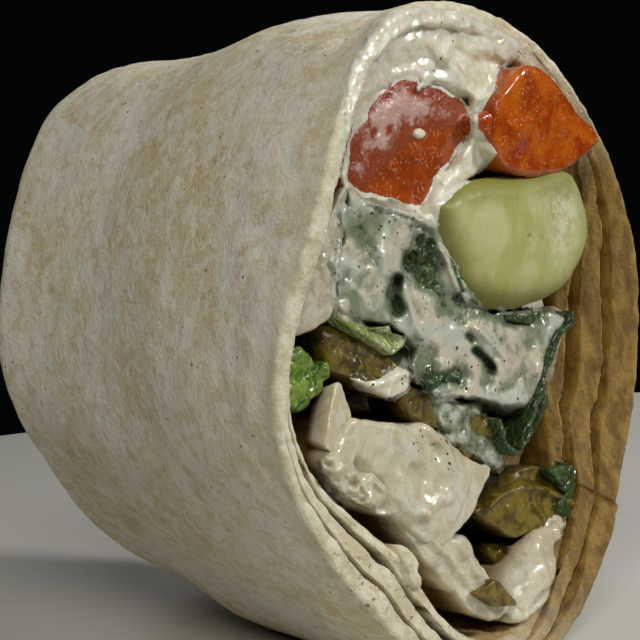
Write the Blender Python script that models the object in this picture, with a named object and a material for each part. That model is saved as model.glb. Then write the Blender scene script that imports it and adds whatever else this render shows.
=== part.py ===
"""Cut half of a filled tortilla wrap, lying on its side.

The cut face looks along -Y and the folded end along +Y, with +Z up. Sizes below are in millimetres, in a frame
whose y = 0 is the cut plane and whose z = 0 is the table, and everything is moved to the middle at the end.
"""

import math

import bmesh
import bpy
from mathutils import Vector, noise

NAME = "cut_wrap_half"
MM = 0.001
GAP = 0.3
CHORD = 0.1

# Outside of the roll at the cut, as radii every 15 degrees round a point MID_Z above the table.
MID_Z = 34.5
ROLL = [31.9, 33.2, 34.0, 35.0, 35.9, 36.3, 36.9, 37.6, 37.0, 35.0, 33.0, 32.1,
        31.9, 31.0, 29.9, 29.9, 30.7, 32.6, 34.4, 34.8, 33.8, 32.2, 31.3, 31.5]
# Thickness of the rolled layers together, at the same angles.
WALL = [8.8, 8.0, 6.2, 4.4, 3.4, 3.0, 2.7, 2.4, 2.2, 2.2, 2.2, 2.1,
        2.2, 3.6, 5.8, 7.4, 7.4, 6.4, 5.4, 5.0, 5.4, 6.4, 8.0, 9.0]
# How far the cut edge stands behind the cut plane. Below nought it stands proud of it.
EDGE = [0.0, 0.0, 0.3, 0.6, 0.8, 0.4, 0.0, -0.6, -2.0, -3.2, -3.0, -1.2,
        0.0, 0.3, 0.0, -0.3, 0.0, 0.3, 0.0, 0.0, 0.0, -0.3, 0.0, 0.0]
# Depths of the two gaps between layers.
SLOT_OUT = [8.0, 7.0, 4.0, 1.2, 0.4, 0.4, 0.4, 0.4, 0.4, 0.4, 0.4, 0.4,
            0.4, 0.8, 1.6, 2.0, 2.0, 1.2, 0.8, 2.0, 5.0, 8.0, 9.0, 9.0]
SLOT_IN = [10.0, 6.0, 1.5, 0.4, 0.4, 0.4, 0.4, 0.4, 0.4, 0.4, 0.4, 0.4,
           0.4, 2.0, 6.0, 8.0, 7.0, 3.0, 0.8, 1.0, 4.0, 9.0, 11.0, 11.0]
SLOT_OUT_AT = (0.33, 0.42)
SLOT_IN_AT = (0.66, 0.78)

SIDE_L = 54.6
CAP_L = 7.6
FLOOR_Y = 44.0
# Drop of the top, rise of the bottom, narrowing of the sides and drift sideways, at thirds of the length.
TOP_DROP = (0.0, -0.2, 1.0, 0.2)
BOTTOM_RISE = (0.0, 1.3, 2.6, 4.0)
SIDE_IN = (0.0, 3.0, 5.0, 4.0)
DRIFT = (0.0, 1.0, 3.6, 7.4)
FLAT_Z = 1.0
SEAM_DEG = 321.0
SEAM_STEP = 1.3
FOLD_STEP = 1.8

COLOURS = {
    "tortilla": (0.62, 0.52, 0.38), "hummus": (0.66, 0.58, 0.42), "pepper": (0.50, 0.06, 0.012),
    "pepper_orange": (0.62, 0.13, 0.015), "cucumber": (0.42, 0.45, 0.16), "dressing": (0.36, 0.40, 0.30),
    "leaf_dark": (0.02, 0.055, 0.015), "leaf_bright": (0.12, 0.24, 0.02), "rib": (0.32, 0.42, 0.12),
    "pickle": (0.15, 0.11, 0.012), "pickle_yellow": (0.30, 0.20, 0.02), "meat": (0.64, 0.56, 0.42),
}


def curve(a, b, c, d, t):
    """Smooth value between b and c, for four values at equal steps."""
    return b + 0.5 * t * (c - a + t * (2 * a - 5 * b + 4 * c - d + t * (3 * b - a - 3 * c + d)))


def turn_value(table, deg):
    """Smooth value round a table of equal steps of angle."""
    n = len(table)
    f = (deg % 360.0) / 360.0 * n
    i = int(f)
    t = f - i
    return curve(*(table[(i + k) % n] for k in (-1, 0, 1, 2)), t)


def run_value(table, y):
    """Smooth value along the length of the roll, from a table at equal steps."""
    n = len(table) - 1
    f = min(max(y / SIDE_L, 0.0), 1.0) * n
    i = min(int(f), n - 1)
    t = f - i
    return curve(*(table[min(max(i + k, 0), n)] for k in (-1, 0, 1, 2)), t)


def ease(t):
    t = min(max(t, 0.0), 1.0)
    return t * t * (3 - 2 * t)


def wave(x, y, z, size, seed):
    return noise.noise(Vector((x / size + seed * 7.3, y / size - seed * 3.1, z / size + seed)))


def angles():
    """Every 8 degrees, with a close pair at the edge of the outermost layer."""
    return sorted([8.0 * k for k in range(45)] + [SEAM_DEG - 0.8, SEAM_DEG + 0.8])


ANGLES = angles()


def seam_drop(deg):
    """The outermost layer ends at the seam, and the layer under it is lower until it has taken its place."""
    past = (deg - SEAM_DEG) % 360.0
    return SEAM_STEP * (1 - ease(past / 75.0)) if past < 75.0 else 0.0


def place(deg, radius, y, shrink=1.0):
    """A point of the roll's section at y, with the roll's taper, drift and flat underside."""
    a = math.radians(deg)
    top = 70.8 - run_value(TOP_DROP, y)
    bottom = run_value(BOTTOM_RISE, y)
    wide = 1 - run_value(SIDE_IN, y) / 31.8
    x = radius * math.cos(a) * wide
    z = bottom + (MID_Z + radius * math.sin(a)) * (top - bottom) / 70.8
    mid = (top + bottom) / 2
    x, z = x * shrink, mid + (z - mid) * shrink
    under = ease(1 - abs((deg % 360.0) - 270.0) / 42.0) * ease((SIDE_L - 6 - y) / 16.0)
    z -= bottom * under * (radius / 34.0)
    return x + run_value(DRIFT, y), y, z


def outer(deg, y, inset=0.0, shrink=1.0):
    step = seam_drop(deg) * (0.6 + 0.4 * ease(y / 10.0))
    p = place(deg, turn_value(ROLL, deg) - inset - step, y, shrink)
    lump = 0.5 * wave(*p, 13.0, 1) * ease((y - 1) / 6.0) * (1 if inset == 0 else 0)
    x, y, z = p
    s = 1 + lump / 34.0
    return (x * s, y, max(MID_Z + (z - MID_Z) * s, FLAT_Z))


def inner(deg, y, more=0.0, shrink=1.0):
    """The wall of the hollow that the filling lies in."""
    back = ease((y - 30.0) / (FLOOR_Y - 30.0))
    return place(deg, turn_value(ROLL, deg) - turn_value(WALL, deg) - 4.0 * back - more, y, shrink)


def cap_ring(t):
    """Rings of the folded end, from the shoulder (t = 0) to the middle (t = 1)."""
    ring = []
    for deg in ANGLES:
        k = max(math.cos(t * math.pi / 2), 0.02) ** 0.85
        x, _, z = outer(deg, SIDE_L, 0.0, k)
        y = SIDE_L + CAP_L * math.sin(t * math.pi / 2)
        cx, cz = x - DRIFT[-1], z - 36.5
        flap = 0.80 * cx + 0.60 * cz + 1.5 * math.sin(cz / 9.0)
        y += FOLD_STEP * (ease((flap + 6.0) / 2.6) - 0.5) * ease(t * 2.2)
        tuck = -0.45 * cx + 0.89 * cz
        y += 0.6 * FOLD_STEP * ease((tuck - 6.0) / 3.0) * ease(t * 2.5) * ease((-flap - 3.0) / 4.0)
        y += 1.1 * wave(x, 0.0, z, 10.0, 3) * ease(t * 3)
        ring.append((x, y, z))
    return ring


def slot_rings(slot, at, deg_wall):
    """Four rings of one gap between layers: lip, two at the bottom, lip."""
    rings = []
    for part, deep in ((at[0], 0), (at[0] + 0.01, 1), (at[1] - 0.01, 1), (at[1], 0)):
        ring = []
        for deg in ANGLES:
            edge = turn_value(EDGE, deg)
            depth = max(turn_value(slot, deg), 0.3) * (0.85 + 0.5 * wave(deg / 9, 0, 0, 1.0, 5))
            y = edge + (depth if deep else 0.25 * wave(deg / 6, part * 9, 0, 1.0, 7))
            step = seam_drop(deg) * 0.6
            inset = step + (deg_wall(deg) - step) * part
            ring.append(place(deg, turn_value(ROLL, deg) - inset, y))
        rings.append(ring)
    return rings


def tortilla_rings():
    wall = lambda deg: turn_value(WALL, deg)
    edge = lambda deg: turn_value(EDGE, deg)
    rings = [[(DRIFT[-1], SIDE_L + CAP_L, 36.5)]]
    rings += [cap_ring(t) for t in (0.9, 0.72, 0.55, 0.4, 0.26, 0.12)]
    rings += [[outer(d, SIDE_L * s) for d in ANGLES] for s in (0.98, 0.86, 0.7, 0.53, 0.36, 0.2)]
    rings += [[outer(d, edge(d) + 1.2) for d in ANGLES], [outer(d, edge(d) + 0.4, 0.12) for d in ANGLES]]
    rings += [[outer(d, edge(d), 0.18 * wall(d)) for d in ANGLES]]
    rings += slot_rings(SLOT_OUT, SLOT_OUT_AT, wall)
    rings += [[outer(d, edge(d) - 0.35, seam_mid(d, 0.54)) for d in ANGLES]]
    rings += slot_rings(SLOT_IN, SLOT_IN_AT, wall)
    rings += [[place(d, turn_value(ROLL, d) - wall(d) * 0.92, edge(d) + 0.3) for d in ANGLES]]
    rings += [[inner(d, edge(d) + 1.0) for d in ANGLES]]
    rings += [[inner(d, y) for d in ANGLES] for y in (7.0, 17.0, 27.0, 35.0, FLOOR_Y)]
    rings += [[inner(d, FLOOR_Y + 0.8, 0.0, k) for d in ANGLES] for k in (0.8, 0.4)]
    rings += [[(run_value(DRIFT, FLOOR_Y), FLOOR_Y + 1.0, 35.5)]]
    return rings


def seam_mid(deg, part):
    return turn_value(WALL, deg) * part - seam_drop(deg) * 0.2


def plug_rings():
    """The room inside the roll, open far in front of the cut, that every filling stays in."""
    rings = [[(0.0, -14.0, 35.0)]]
    for y in (-14.0, 1.0, 7.0, 17.0, 27.0, 35.0, FLOOR_Y - GAP):
        rings.append([inner(d, max(y, 0.0), GAP)[:1] + (y,) + inner(d, max(y, 0.0), GAP)[2:] for d in ANGLES])
    rings += [[inner(d, FLOOR_Y - GAP, GAP, 0.5) for d in ANGLES]]
    rings += [[(run_value(DRIFT, FLOOR_Y), FLOOR_Y - GAP, 35.5)]]
    return rings


def loft(name, rings):
    """A closed mesh through rings of equal count, with a single point at each end."""
    points = [p for ring in rings for p in ring]
    n = len(rings[1])
    faces = []
    for j in range(n):
        faces.append((0, 1 + (j + 1) % n, 1 + j))
    for i in range(len(rings) - 3):
        base = 1 + i * n
        for j in range(n):
            k = (j + 1) % n
            faces.append((base + j, base + k, base + n + k, base + n + j))
    last = len(points) - 1
    base = last - n
    for j in range(n):
        faces.append((base + j, base + (j + 1) % n, last))
    return mesh_object(name, points, faces)


def mesh_object(name, points, faces):
    mesh = bpy.data.meshes.new(name)
    mesh.from_pydata([tuple(c * MM for c in p) for p in points], [], faces)
    bm = bmesh.new()
    bm.from_mesh(mesh)
    bmesh.ops.remove_doubles(bm, verts=bm.verts, dist=0.00001)
    bmesh.ops.recalc_face_normals(bm, faces=bm.faces)
    if bm.calc_volume(signed=True) < 0:
        bmesh.ops.reverse_faces(bm, faces=bm.faces)
    bmesh.ops.triangulate(bm, faces=bm.faces)
    bm.to_mesh(mesh)
    bm.free()
    return bpy.data.objects.new(name, mesh)


def outline_points(outline, count):
    """Points round a closed smooth curve through the outline."""
    n = len(outline)
    found = []
    for k in range(count):
        f = k / count * n
        i = int(f)
        t = f - i
        corners = [outline[(i + m) % n] for m in (-1, 0, 1, 2)]
        found.append(tuple(curve(*(p[q] for p in corners), t) for q in (0, 1)))
    return found


def chunk(name, outline, front, back, crown=1.2, lump=0.4, taper=0.8, slope=(0.0, 0.0), count=18, seed=1, hub=None,
          broad=False, grow=0.0):
    """A cut piece of filling: its outline on the cut, run back into the roll, with a crowned uneven face.

    slope tips the face: how much deeper it goes for each millimetre of x and of z. hub is the point of the cut that
    the rings close round, where the middle of the outline doesn't see all of it."""
    around = outline_points(outline, count)
    cx = sum(p[0] for p in around) / count
    cz = sum(p[1] for p in around) / count
    if hub:
        cx, cz = hub
    face = (0.2, 0.4, 0.6, 0.8) if broad else (0.45, 0.8)
    steps = [(k, -crown * (1.25 - k * k)) for k in face] + [(0.97, 0.2), (1.03, 1.6)]
    depth = back - front
    steps += [(1.0, depth * 0.45), (0.5 + taper / 2, depth * 0.8), (taper * 0.8, depth)]
    rings = [[(cx, front - crown * 1.2 - grow, cz)]]
    for scale, deep in steps:
        ring = []
        for x, z in around:
            dx, dz = (x - cx) * scale, (z - cz) * scale
            size = math.hypot(dx, dz) or 1.0
            y = front + deep + (slope[0] * dx + slope[1] * dz) * (1 if deep < 3 else 0)
            bump = lump * wave(cx + dx, y, cz + dz, 4.0, seed) * 2.0
            out = bump * (0.6 if scale > 0.9 else 0.0) + grow
            y += bump * (1.0 if scale < 0.9 else 0.2) + (-grow if deep < 0.5 else (grow if deep >= depth else 0))
            drift = run_value(DRIFT, y) - run_value(DRIFT, front)
            ring.append((cx + dx * (1 + out / size) + drift, y, cz + dz * (1 + out / size)))
        rings.append(ring)
    rings.append([(cx + run_value(DRIFT, back) - run_value(DRIFT, front), back + grow, cz)])
    return loft(name, rings)


def leaf(name, middle, along, across, half, thick=0.9, ripple=1.0, waves=2.0, curl=0.0, seed=1, grow=0.0):
    """A thin wavy leaf: an oval sheet with two like faces, set by its middle and two directions."""
    nu, nv = 9, 5
    mid, u, v = Vector(middle), Vector(along).normalized(), Vector(across).normalized()
    w = u.cross(v).normalized()
    top, low = [], []
    for i in range(nu):
        for j in range(nv):
            s, t = 2 * i / (nu - 1) - 1, 2 * j / (nv - 1) - 1
            wide = math.sqrt(max(1 - (0.93 * s) ** 2, 0.0)) * (1 + 0.10 * math.sin(s * 7 + seed))
            a, b = s * (half[0] + grow), t * wide * (half[1] + grow)
            h = ripple * math.sin(s * math.pi * waves + seed + t * 1.3) * (0.35 + 0.65 * abs(t))
            h += ripple * 0.5 * wave(a, b, 0.0, 3.0, seed) + curl * t * t * half[1] * 0.4
            p = mid + u * a + v * b + w * h
            e = (thick / 2 + grow) * (0.72 if abs(s) == 1 or abs(t) == 1 else 1.0)
            top.append(p + w * e)
            low.append(p - w * e)
    points = [tuple(p) for p in top + low]
    n = nu * nv
    faces = []
    for i in range(nu - 1):
        for j in range(nv - 1):
            a, b, c, d = i * nv + j, (i + 1) * nv + j, (i + 1) * nv + j + 1, i * nv + j + 1
            faces += [(a, b, c), (a, c, d), (a + n, c + n, b + n), (a + n, d + n, c + n)]
    border = [i * nv for i in range(nu)] + [(nu - 1) * nv + j for j in range(1, nv)]
    border += [i * nv + nv - 1 for i in range(nu - 2, -1, -1)] + [j for j in range(nv - 2, 0, -1)]
    for a, b in zip(border, border[1:] + border[:1]):
        faces += [(a, a + n, b + n), (a, b + n, b)]
    return mesh_object(name, points, faces)


def hummus_front(x, z):
    """How far behind the cut plane the face of the spread lies."""
    y = 7.6 + 1.2 * wave(x, 0, z, 5.0, 11)
    y -= 6.6 * ease((z - 56.0) / 6.0) * ease((12.0 - x) / 8.0)
    y += 2.2 * math.exp(-((x - 8) / 3.5) ** 2 - ((z - 66.0) / 2.5) ** 2)
    y -= 4.5 * math.exp(-((x + 3.5) / 4.0) ** 2 - ((z - 52.0) / 4.5) ** 2)
    y += 4.5 * math.exp(-((x - 8) / 6.0) ** 2 - ((z - 15.0) / 5.0) ** 2)
    y += 3.0 * math.exp(-((x - 13) / 5.0) ** 2 - ((z - 23.0) / 4.0) ** 2)
    y -= 2.0 * math.exp(-((x - 12) / 7.0) ** 2 - ((z - 8.0) / 4.0) ** 2)
    return y


def hummus_core(name, grow=0.0):
    """The spread, filling all the room that the other fillings leave, uneven at the cut."""
    rings = [[(0.0, hummus_front(0.0, 35.0), 35.0)]]
    for k in (0.2, 0.42, 0.64, 0.84, 1.0):
        ring = []
        for deg in ANGLES:
            x, _, z = inner(deg, 10.0, GAP + CHORD)
            x, z = x * k, 35.0 + (z - 35.0) * k
            ring.append((x, hummus_front(x, z) + (0.8 if k == 1.0 else 0.0), z))
        rings.append(ring)
    for y in (17.0, 27.0, 35.0, FLOOR_Y - GAP):
        rings.append([inner(deg, y, GAP + CHORD) for deg in ANGLES])
    rings += [[inner(deg, FLOOR_Y - GAP, GAP, 0.5) for deg in ANGLES]]
    rings += [[(run_value(DRIFT, FLOOR_Y), FLOOR_Y - GAP, 35.5)]]
    return loft(name, rings)


def fillings():
    """Every filling as (name, colour, maker, sizes), foremost first. Each is cut clear of those before it."""
    return [
        ("cucumber_chunk", "cucumber", chunk, dict(
            outline=[(-1.6, 51.4), (1.2, 53.6), (7.0, 54.2), (15.2, 54.0), (18.6, 52.2), (19.6, 46.8), (17.6, 41.8),
                     (11.0, 39.5), (5.4, 39.9), (0.6, 42.2), (-1.6, 46.4)],
            front=-0.4, back=34, crown=0.7, lump=0.2, taper=0.9, slope=(-0.03, -0.06), count=22, seed=2)),
        ("pepper_left", "pepper", chunk, dict(
            outline=[(-20.6, 55.4), (-17.8, 58.4), (-14.6, 61.0), (-8.9, 63.8), (-2.6, 62.3), (2.4, 58.8), (1.0, 55.4),
                     (-3.6, 54.6), (-6.7, 50.7), (-11.4, 52.0)],
            front=2.2, back=30, crown=0.6, lump=0.3, taper=0.85, slope=(0.0, -0.12), count=22, seed=3)),
        ("pepper_right", "pepper_orange", chunk, dict(
            outline=[(1.6, 60.8), (4.0, 63.6), (7.2, 65.0), (11.4, 63.4), (15.6, 60.4), (20.6, 57.2), (15.0, 55.0),
                     (8.2, 54.9), (2.4, 56.8)],
            front=-1.6, back=26, crown=0.8, lump=0.35, taper=0.8, slope=(0.0, -0.1), count=20, seed=4)),
        ("pepper_sliver", "pepper_orange", chunk, dict(
            outline=[(-1.2, 59.8), (1.4, 61.2), (3.2, 59.4), (2.6, 57.2), (-0.6, 57.4)],
            front=0.6, back=9, crown=0.5, lump=0.2, taper=0.8, count=12, seed=5)),
        ("leaf_centre", "leaf_dark", leaf, dict(
            middle=(-4.2, 3.6, 44.4), along=(0.55, 0.22, -0.8), across=(0.8, 0.1, 0.6), half=(6.6, 4.6),
            thick=1.0, ripple=0.8, waves=1.7, curl=0.5, seed=2)),
        ("leaf_under_cucumber", "leaf_dark", leaf, dict(
            middle=(10.6, 4.6, 37.6), along=(1.0, 0.15, -0.12), across=(0.05, 0.8, -0.5), half=(5.2, 3.0),
            thick=1.0, ripple=0.45, waves=1.4, seed=3)),
        ("leaf_right_edge", "leaf_dark", leaf, dict(
            middle=(15.6, 7.4, 29.6), along=(0.45, 0.12, 0.88), across=(-0.3, 0.95, 0.1), half=(7.2, 3.6),
            thick=1.0, ripple=0.7, waves=1.3, seed=4)),
        ("leaf_clump", "leaf_dark", leaf, dict(
            middle=(-2.4, 4.2, 33.4), along=(0.9, 0.1, -0.2), across=(0.2, 0.35, 0.9), half=(3.6, 2.3),
            thick=1.1, ripple=0.6, waves=1.5, seed=5)),
        ("leaf_bright_left", "leaf_bright", leaf, dict(
            middle=(-25.4, 3.2, 37.2), along=(0.25, 0.55, -0.8), across=(0.85, 0.25, 0.35), half=(3.8, 2.6),
            thick=1.0, ripple=0.7, waves=1.5, curl=0.5, seed=6)),
        ("leaf_low_right", "leaf_dark", leaf, dict(
            middle=(18.8, 7.4, 18.6), along=(0.5, 0.2, 0.84), across=(0.6, 0.7, -0.35), half=(4.4, 2.6),
            thick=1.0, ripple=0.6, waves=1.2, seed=7)),
        ("olive_slice", "pickle", chunk, dict(
            outline=[(0.6, 36.8), (2.6, 37.2), (3.4, 35.4), (2.2, 33.8), (0.6, 34.4)],
            front=4.6, back=12, crown=0.5, lump=0.15, taper=0.8, count=12, seed=8)),
        ("lettuce_rib", "rib", chunk, dict(
            outline=[(-20.6, 41.6), (-16.0, 40.8), (-11.2, 38.8), (-9.4, 37.6), (-12.0, 36.9), (-17.0, 38.4),
                     (-21.0, 39.4)],
            front=2.0, back=24, crown=0.5, lump=0.2, taper=0.8, count=16, seed=9)),
        ("pickle_left", "pickle", chunk, dict(
            outline=[(-22.0, 38.6), (-17.0, 37.6), (-12.2, 36.0), (-8.0, 34.8), (-8.4, 32.4), (-12.0, 31.8),
                     (-17.0, 33.4), (-21.6, 35.6)],
            front=3.0, back=17, crown=0.8, lump=0.35, taper=0.7, count=18, seed=10)),
        ("pickle_centre", "pickle", chunk, dict(
            outline=[(-5.2, 31.4), (-1.0, 31.4), (3.4, 30.0), (8.4, 26.6), (8.2, 22.2), (5.4, 22.0), (0.6, 24.2),
                     (-4.0, 27.8)],
            front=3.6, back=18, crown=1.0, lump=0.5, taper=0.7, count=18, seed=11)),
        ("pickle_right", "pickle", chunk, dict(
            outline=[(4.4, 17.4), (9.0, 19.0), (14.4, 18.6), (17.8, 16.6), (16.8, 13.4), (12.0, 12.8), (7.0, 13.6)],
            front=5.0, back=18, crown=0.9, lump=0.45, taper=0.7, count=18, seed=12)),
        ("pickle_deep", "pickle_yellow", chunk, dict(
            outline=[(6.8, 12.4), (10.6, 12.4), (14.0, 11.8), (15.6, 10.0), (12.4, 8.8), (8.6, 9.7)],
            front=6.0, back=16, crown=0.7, lump=0.3, taper=0.7, count=14, seed=13)),
        ("pickle_wedge", "pickle_yellow", chunk, dict(
            outline=[(-1.8, 10.6), (1.6, 11.6), (3.8, 9.6), (4.8, 7.2), (2.4, 7.4)],
            front=1.4, back=7, crown=0.4, lump=0.15, taper=0.7, count=12, seed=14)),
        ("chicken_wedge", "meat", chunk, dict(
            outline=[(-24.6, 35.2), (-20.6, 35.6), (-18.6, 33.0), (-20.6, 31.2), (-23.4, 29.2), (-25.6, 31.4)],
            front=2.0, back=12, crown=0.5, lump=0.25, taper=0.8, slope=(0.25, 0.0), count=14, seed=15)),
        ("chicken_main", "meat", chunk, dict(
            outline=[(-22.0, 29.4), (-18.2, 31.6), (-13.4, 30.6), (-8.9, 29.6), (-3.4, 27.8), (1.4, 25.4), (1.0, 21.6),
                     (-1.3, 18.6), (-4.2, 17.2), (-9.4, 16.4), (-14.6, 17.0), (-18.2, 21.4), (-21.4, 25.4)],
            front=1.2, back=40, crown=0.5, lump=0.6, taper=0.85, slope=(0.04, 0.05), count=28, seed=16, broad=True)),
        ("chicken_low", "meat", chunk, dict(
            outline=[(-14.2, 16.0), (-9.6, 15.2), (-4.0, 16.0), (-0.2, 12.9), (3.0, 10.0), (3.0, 6.6), (-3.0, 5.8),
                     (-8.2, 8.4), (-12.2, 12.0)],
            front=1.6, back=30, crown=0.5, lump=0.5, taper=0.8, count=22, seed=17)),
        ("chicken_left", "meat", chunk, dict(
            outline=[(-19.2, 53.6), (-17.2, 52.0), (-17.6, 48.6), (-19.0, 45.0), (-20.6, 41.8), (-24.6, 41.2), (-29.0, 41.4),
                     (-28.0, 46.6), (-24.8, 51.6), (-21.6, 54.4)],
            front=0.4, back=30, crown=0.4, lump=0.3, taper=0.9, slope=(0.1, 0.0), count=20, seed=18)),
        ("dressed_greens", "dressing", chunk, dict(
            outline=[(-16.4, 52.8), (-12.0, 51.4), (-6.6, 50.4), (-1.0, 48.4), (2.6, 43.6), (8.0, 39.4), (15.0, 38.8),
                     (19.2, 36.4), (17.2, 31.6), (13.2, 26.8), (8.6, 27.8), (3.0, 30.8), (-3.0, 32.6), (-8.4, 34.6),
                     (-13.0, 38.0), (-17.6, 42.6), (-17.0, 48.4)],
            front=3.8, back=41, crown=0.8, lump=0.6, taper=0.85, slope=(0.02, -0.02), count=34, seed=19,
            hub=(2.0, 36.0), broad=True)),
        ("hummus_low", "hummus", chunk, dict(
            outline=[(3.8, 6.0), (6.0, 10.0), (10.0, 13.2), (15.0, 14.6), (19.0, 14.0), (17.6, 9.6), (13.0, 6.4), (8.0, 4.8)],
            front=2.4, back=22, crown=0.9, lump=0.5, taper=0.8, slope=(0.1, 0.15), count=18, seed=20)),
        ("hummus", "hummus", hummus_core, dict()),
    ]


def plainer(sizes):
    """Sizes of the same piece with fewer points, for the room that it leaves in the spread."""
    fewer = dict(sizes)
    fewer["broad"] = False
    if fewer.get("count", 99) < 26:
        fewer["count"] = max(12, int(fewer["count"] * 0.7))
    return fewer


def clean_up():
    for ob in list(bpy.data.objects):
        bpy.data.objects.remove(ob, do_unlink=True)


def material(name, colour):
    mat = bpy.data.materials.new(name)
    mat.use_nodes = True
    bsdf = mat.node_tree.nodes["Principled BSDF"]
    bsdf.inputs["Base Color"].default_value = (*colour, 1.0)
    bsdf.inputs["Roughness"].default_value = 0.5
    return mat


def near(a, b, room=0.0006):
    """True if the boxes of two objects come within room of each other."""
    boxes = []
    for ob in (a, b):
        co = [v.co for v in ob.data.vertices]
        boxes.append(([min(c[k] for c in co) for k in range(3)], [max(c[k] for c in co) for k in range(3)]))
    (la, ha), (lb, hb) = boxes
    return all(la[k] < hb[k] + room and lb[k] < ha[k] + room for k in range(3))


def applied(ob, tool, operation, solver):
    """A new mesh: the object cut by, or kept within, the tool."""
    mod = ob.modifiers.new("cut", "BOOLEAN")
    mod.operation = operation
    mod.solver = solver
    mod.object = tool
    bpy.context.view_layer.update()
    graph = bpy.context.evaluated_depsgraph_get()
    fresh = bpy.data.meshes.new_from_object(ob.evaluated_get(graph))
    ob.modifiers.remove(mod)
    return fresh


def mesh_volume(mesh):
    bm = bmesh.new()
    bm.from_mesh(mesh)
    open_edges = sum(1 for e in bm.edges if len(e.link_faces) != 2)
    size = bm.calc_volume()
    bm.free()
    return 0.0 if open_edges else size


def boolean(ob, tool, operation):
    """EXACT first. MANIFOLD takes over where EXACT leaves the mesh open or nearly empty."""
    start = mesh_volume(ob.data)
    fresh = applied(ob, tool, operation, "EXACT")
    if mesh_volume(fresh) < 0.25 * start:
        other = applied(ob, tool, operation, "MANIFOLD")
        if mesh_volume(other) > mesh_volume(fresh):
            fresh = other
    old = ob.data
    ob.data = fresh
    bpy.data.meshes.remove(old)


def islands(bm):
    """Groups of joined faces."""
    left, groups = set(bm.faces), []
    while left:
        stack, group = [left.pop()], []
        while stack:
            f = stack.pop()
            group.append(f)
            for e in f.edges:
                for g in e.link_faces:
                    if g in left:
                        left.remove(g)
                        stack.append(g)
        groups.append(group)
    return groups


def group_volume(group):
    total = 0.0
    for f in group:
        p = [v.co for v in f.verts]
        for i in range(1, len(p) - 1):
            total += p[0].dot(p[i].cross(p[i + 1])) / 6.0
    return total


def keep_largest(ob):
    """Only the largest body of the mesh, as clean triangles. Points merge only as far as the mesh stays closed."""
    tries = [(dist, turn) for turn in (2.5, 1.2, 0.0) for dist in (0.00009, 0.00005, 0.00002)] + [(0.0, 0.0)]
    for dist, turn in tries:
        bm = bmesh.new()
        bm.from_mesh(ob.data)
        if dist:
            bmesh.ops.remove_doubles(bm, verts=bm.verts, dist=dist)
            bmesh.ops.dissolve_degenerate(bm, edges=bm.edges, dist=dist / 3)
        if turn:
            bmesh.ops.dissolve_limit(bm, angle_limit=math.radians(turn), verts=bm.verts, edges=bm.edges)
        bmesh.ops.triangulate(bm, faces=bm.faces)
        groups = sorted(islands(bm), key=group_volume, reverse=True)
        for group in groups[1:]:
            bmesh.ops.delete(bm, geom=group, context="FACES")
        bmesh.ops.delete(bm, geom=[v for v in bm.verts if not v.link_faces], context="VERTS")
        closed = all(len(e.link_faces) == 2 for e in bm.edges)
        if closed:
            bm.to_mesh(ob.data)
        bm.free()
        if closed:
            return


def main():
    clean_up()
    whole = bpy.data.collections.new(NAME)
    tools = bpy.data.collections.new("cutters")
    for col in (whole, tools):
        bpy.context.scene.collection.children.link(col)

    def cutter(ob):
        tools.objects.link(ob)
        ob.hide_render = True
        ob.display_type = "WIRE"
        return ob

    plug = cutter(loft("plug", plug_rings()))
    parts = [("tortilla", "tortilla", loft("tortilla", tortilla_rings()))]
    whole.objects.link(parts[0][2])
    before, plain = [], []
    for name, colour, maker, sizes in fillings():
        ob = maker(name, **sizes)
        whole.objects.link(ob)
        for tool in (plain if name == "hummus" else before):
            if near(ob, tool):
                boolean(ob, tool, "DIFFERENCE")
        if name != "hummus":
            boolean(ob, plug, "INTERSECT")
        keep_largest(ob)
        if name != "hummus":
            before.append(cutter(maker(name + "_room", **sizes, grow=GAP)))
            small = plainer(sizes) if maker is chunk else sizes
            plain.append(cutter(maker(name + "_plain_room", **small, grow=2 * GAP)))
        parts.append((name, colour, ob))
    corners = [v.co for _, _, ob in parts for v in ob.data.vertices]
    low = [min(c[k] for c in corners) for k in range(3)]
    high = [max(c[k] for c in corners) for k in range(3)]
    shift = Vector((-(low[0] + high[0]) / 2, -(low[1] + high[1]) / 2, -low[2]))
    for name, colour, ob in parts:
        for v in ob.data.vertices:
            v.co += shift
        ob.data.materials.clear()
        ob.data.materials.append(material(name, COLOURS[colour]))
    for ob in tools.objects:
        for v in ob.data.vertices:
            v.co += shift


main()
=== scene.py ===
"""Looks of the cut half of a filled tortilla wrap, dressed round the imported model."""

import math

import bmesh
import bpy
import numpy as np
from mathutils import Matrix, Vector, noise
from mathutils.bvhtree import BVHTree


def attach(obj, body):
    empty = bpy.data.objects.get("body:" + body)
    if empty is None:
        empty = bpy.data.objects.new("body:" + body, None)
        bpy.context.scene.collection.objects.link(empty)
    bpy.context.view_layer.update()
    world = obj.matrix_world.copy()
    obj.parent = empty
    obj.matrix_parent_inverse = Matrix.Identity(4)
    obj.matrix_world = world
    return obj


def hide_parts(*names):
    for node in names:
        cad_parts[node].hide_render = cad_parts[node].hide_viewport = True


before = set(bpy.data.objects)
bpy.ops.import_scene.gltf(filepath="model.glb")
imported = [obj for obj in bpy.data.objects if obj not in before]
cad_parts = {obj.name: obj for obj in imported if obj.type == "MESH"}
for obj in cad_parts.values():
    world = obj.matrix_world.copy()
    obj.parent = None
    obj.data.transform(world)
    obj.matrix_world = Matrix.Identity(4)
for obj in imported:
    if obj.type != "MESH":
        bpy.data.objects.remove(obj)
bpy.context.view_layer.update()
MM = 0.001
# From the frame that part.py is drawn in (cut plane at y = 0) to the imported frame, in millimetres.
SHIFT = np.array([-1.658, -29.965, -1.0])

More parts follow.
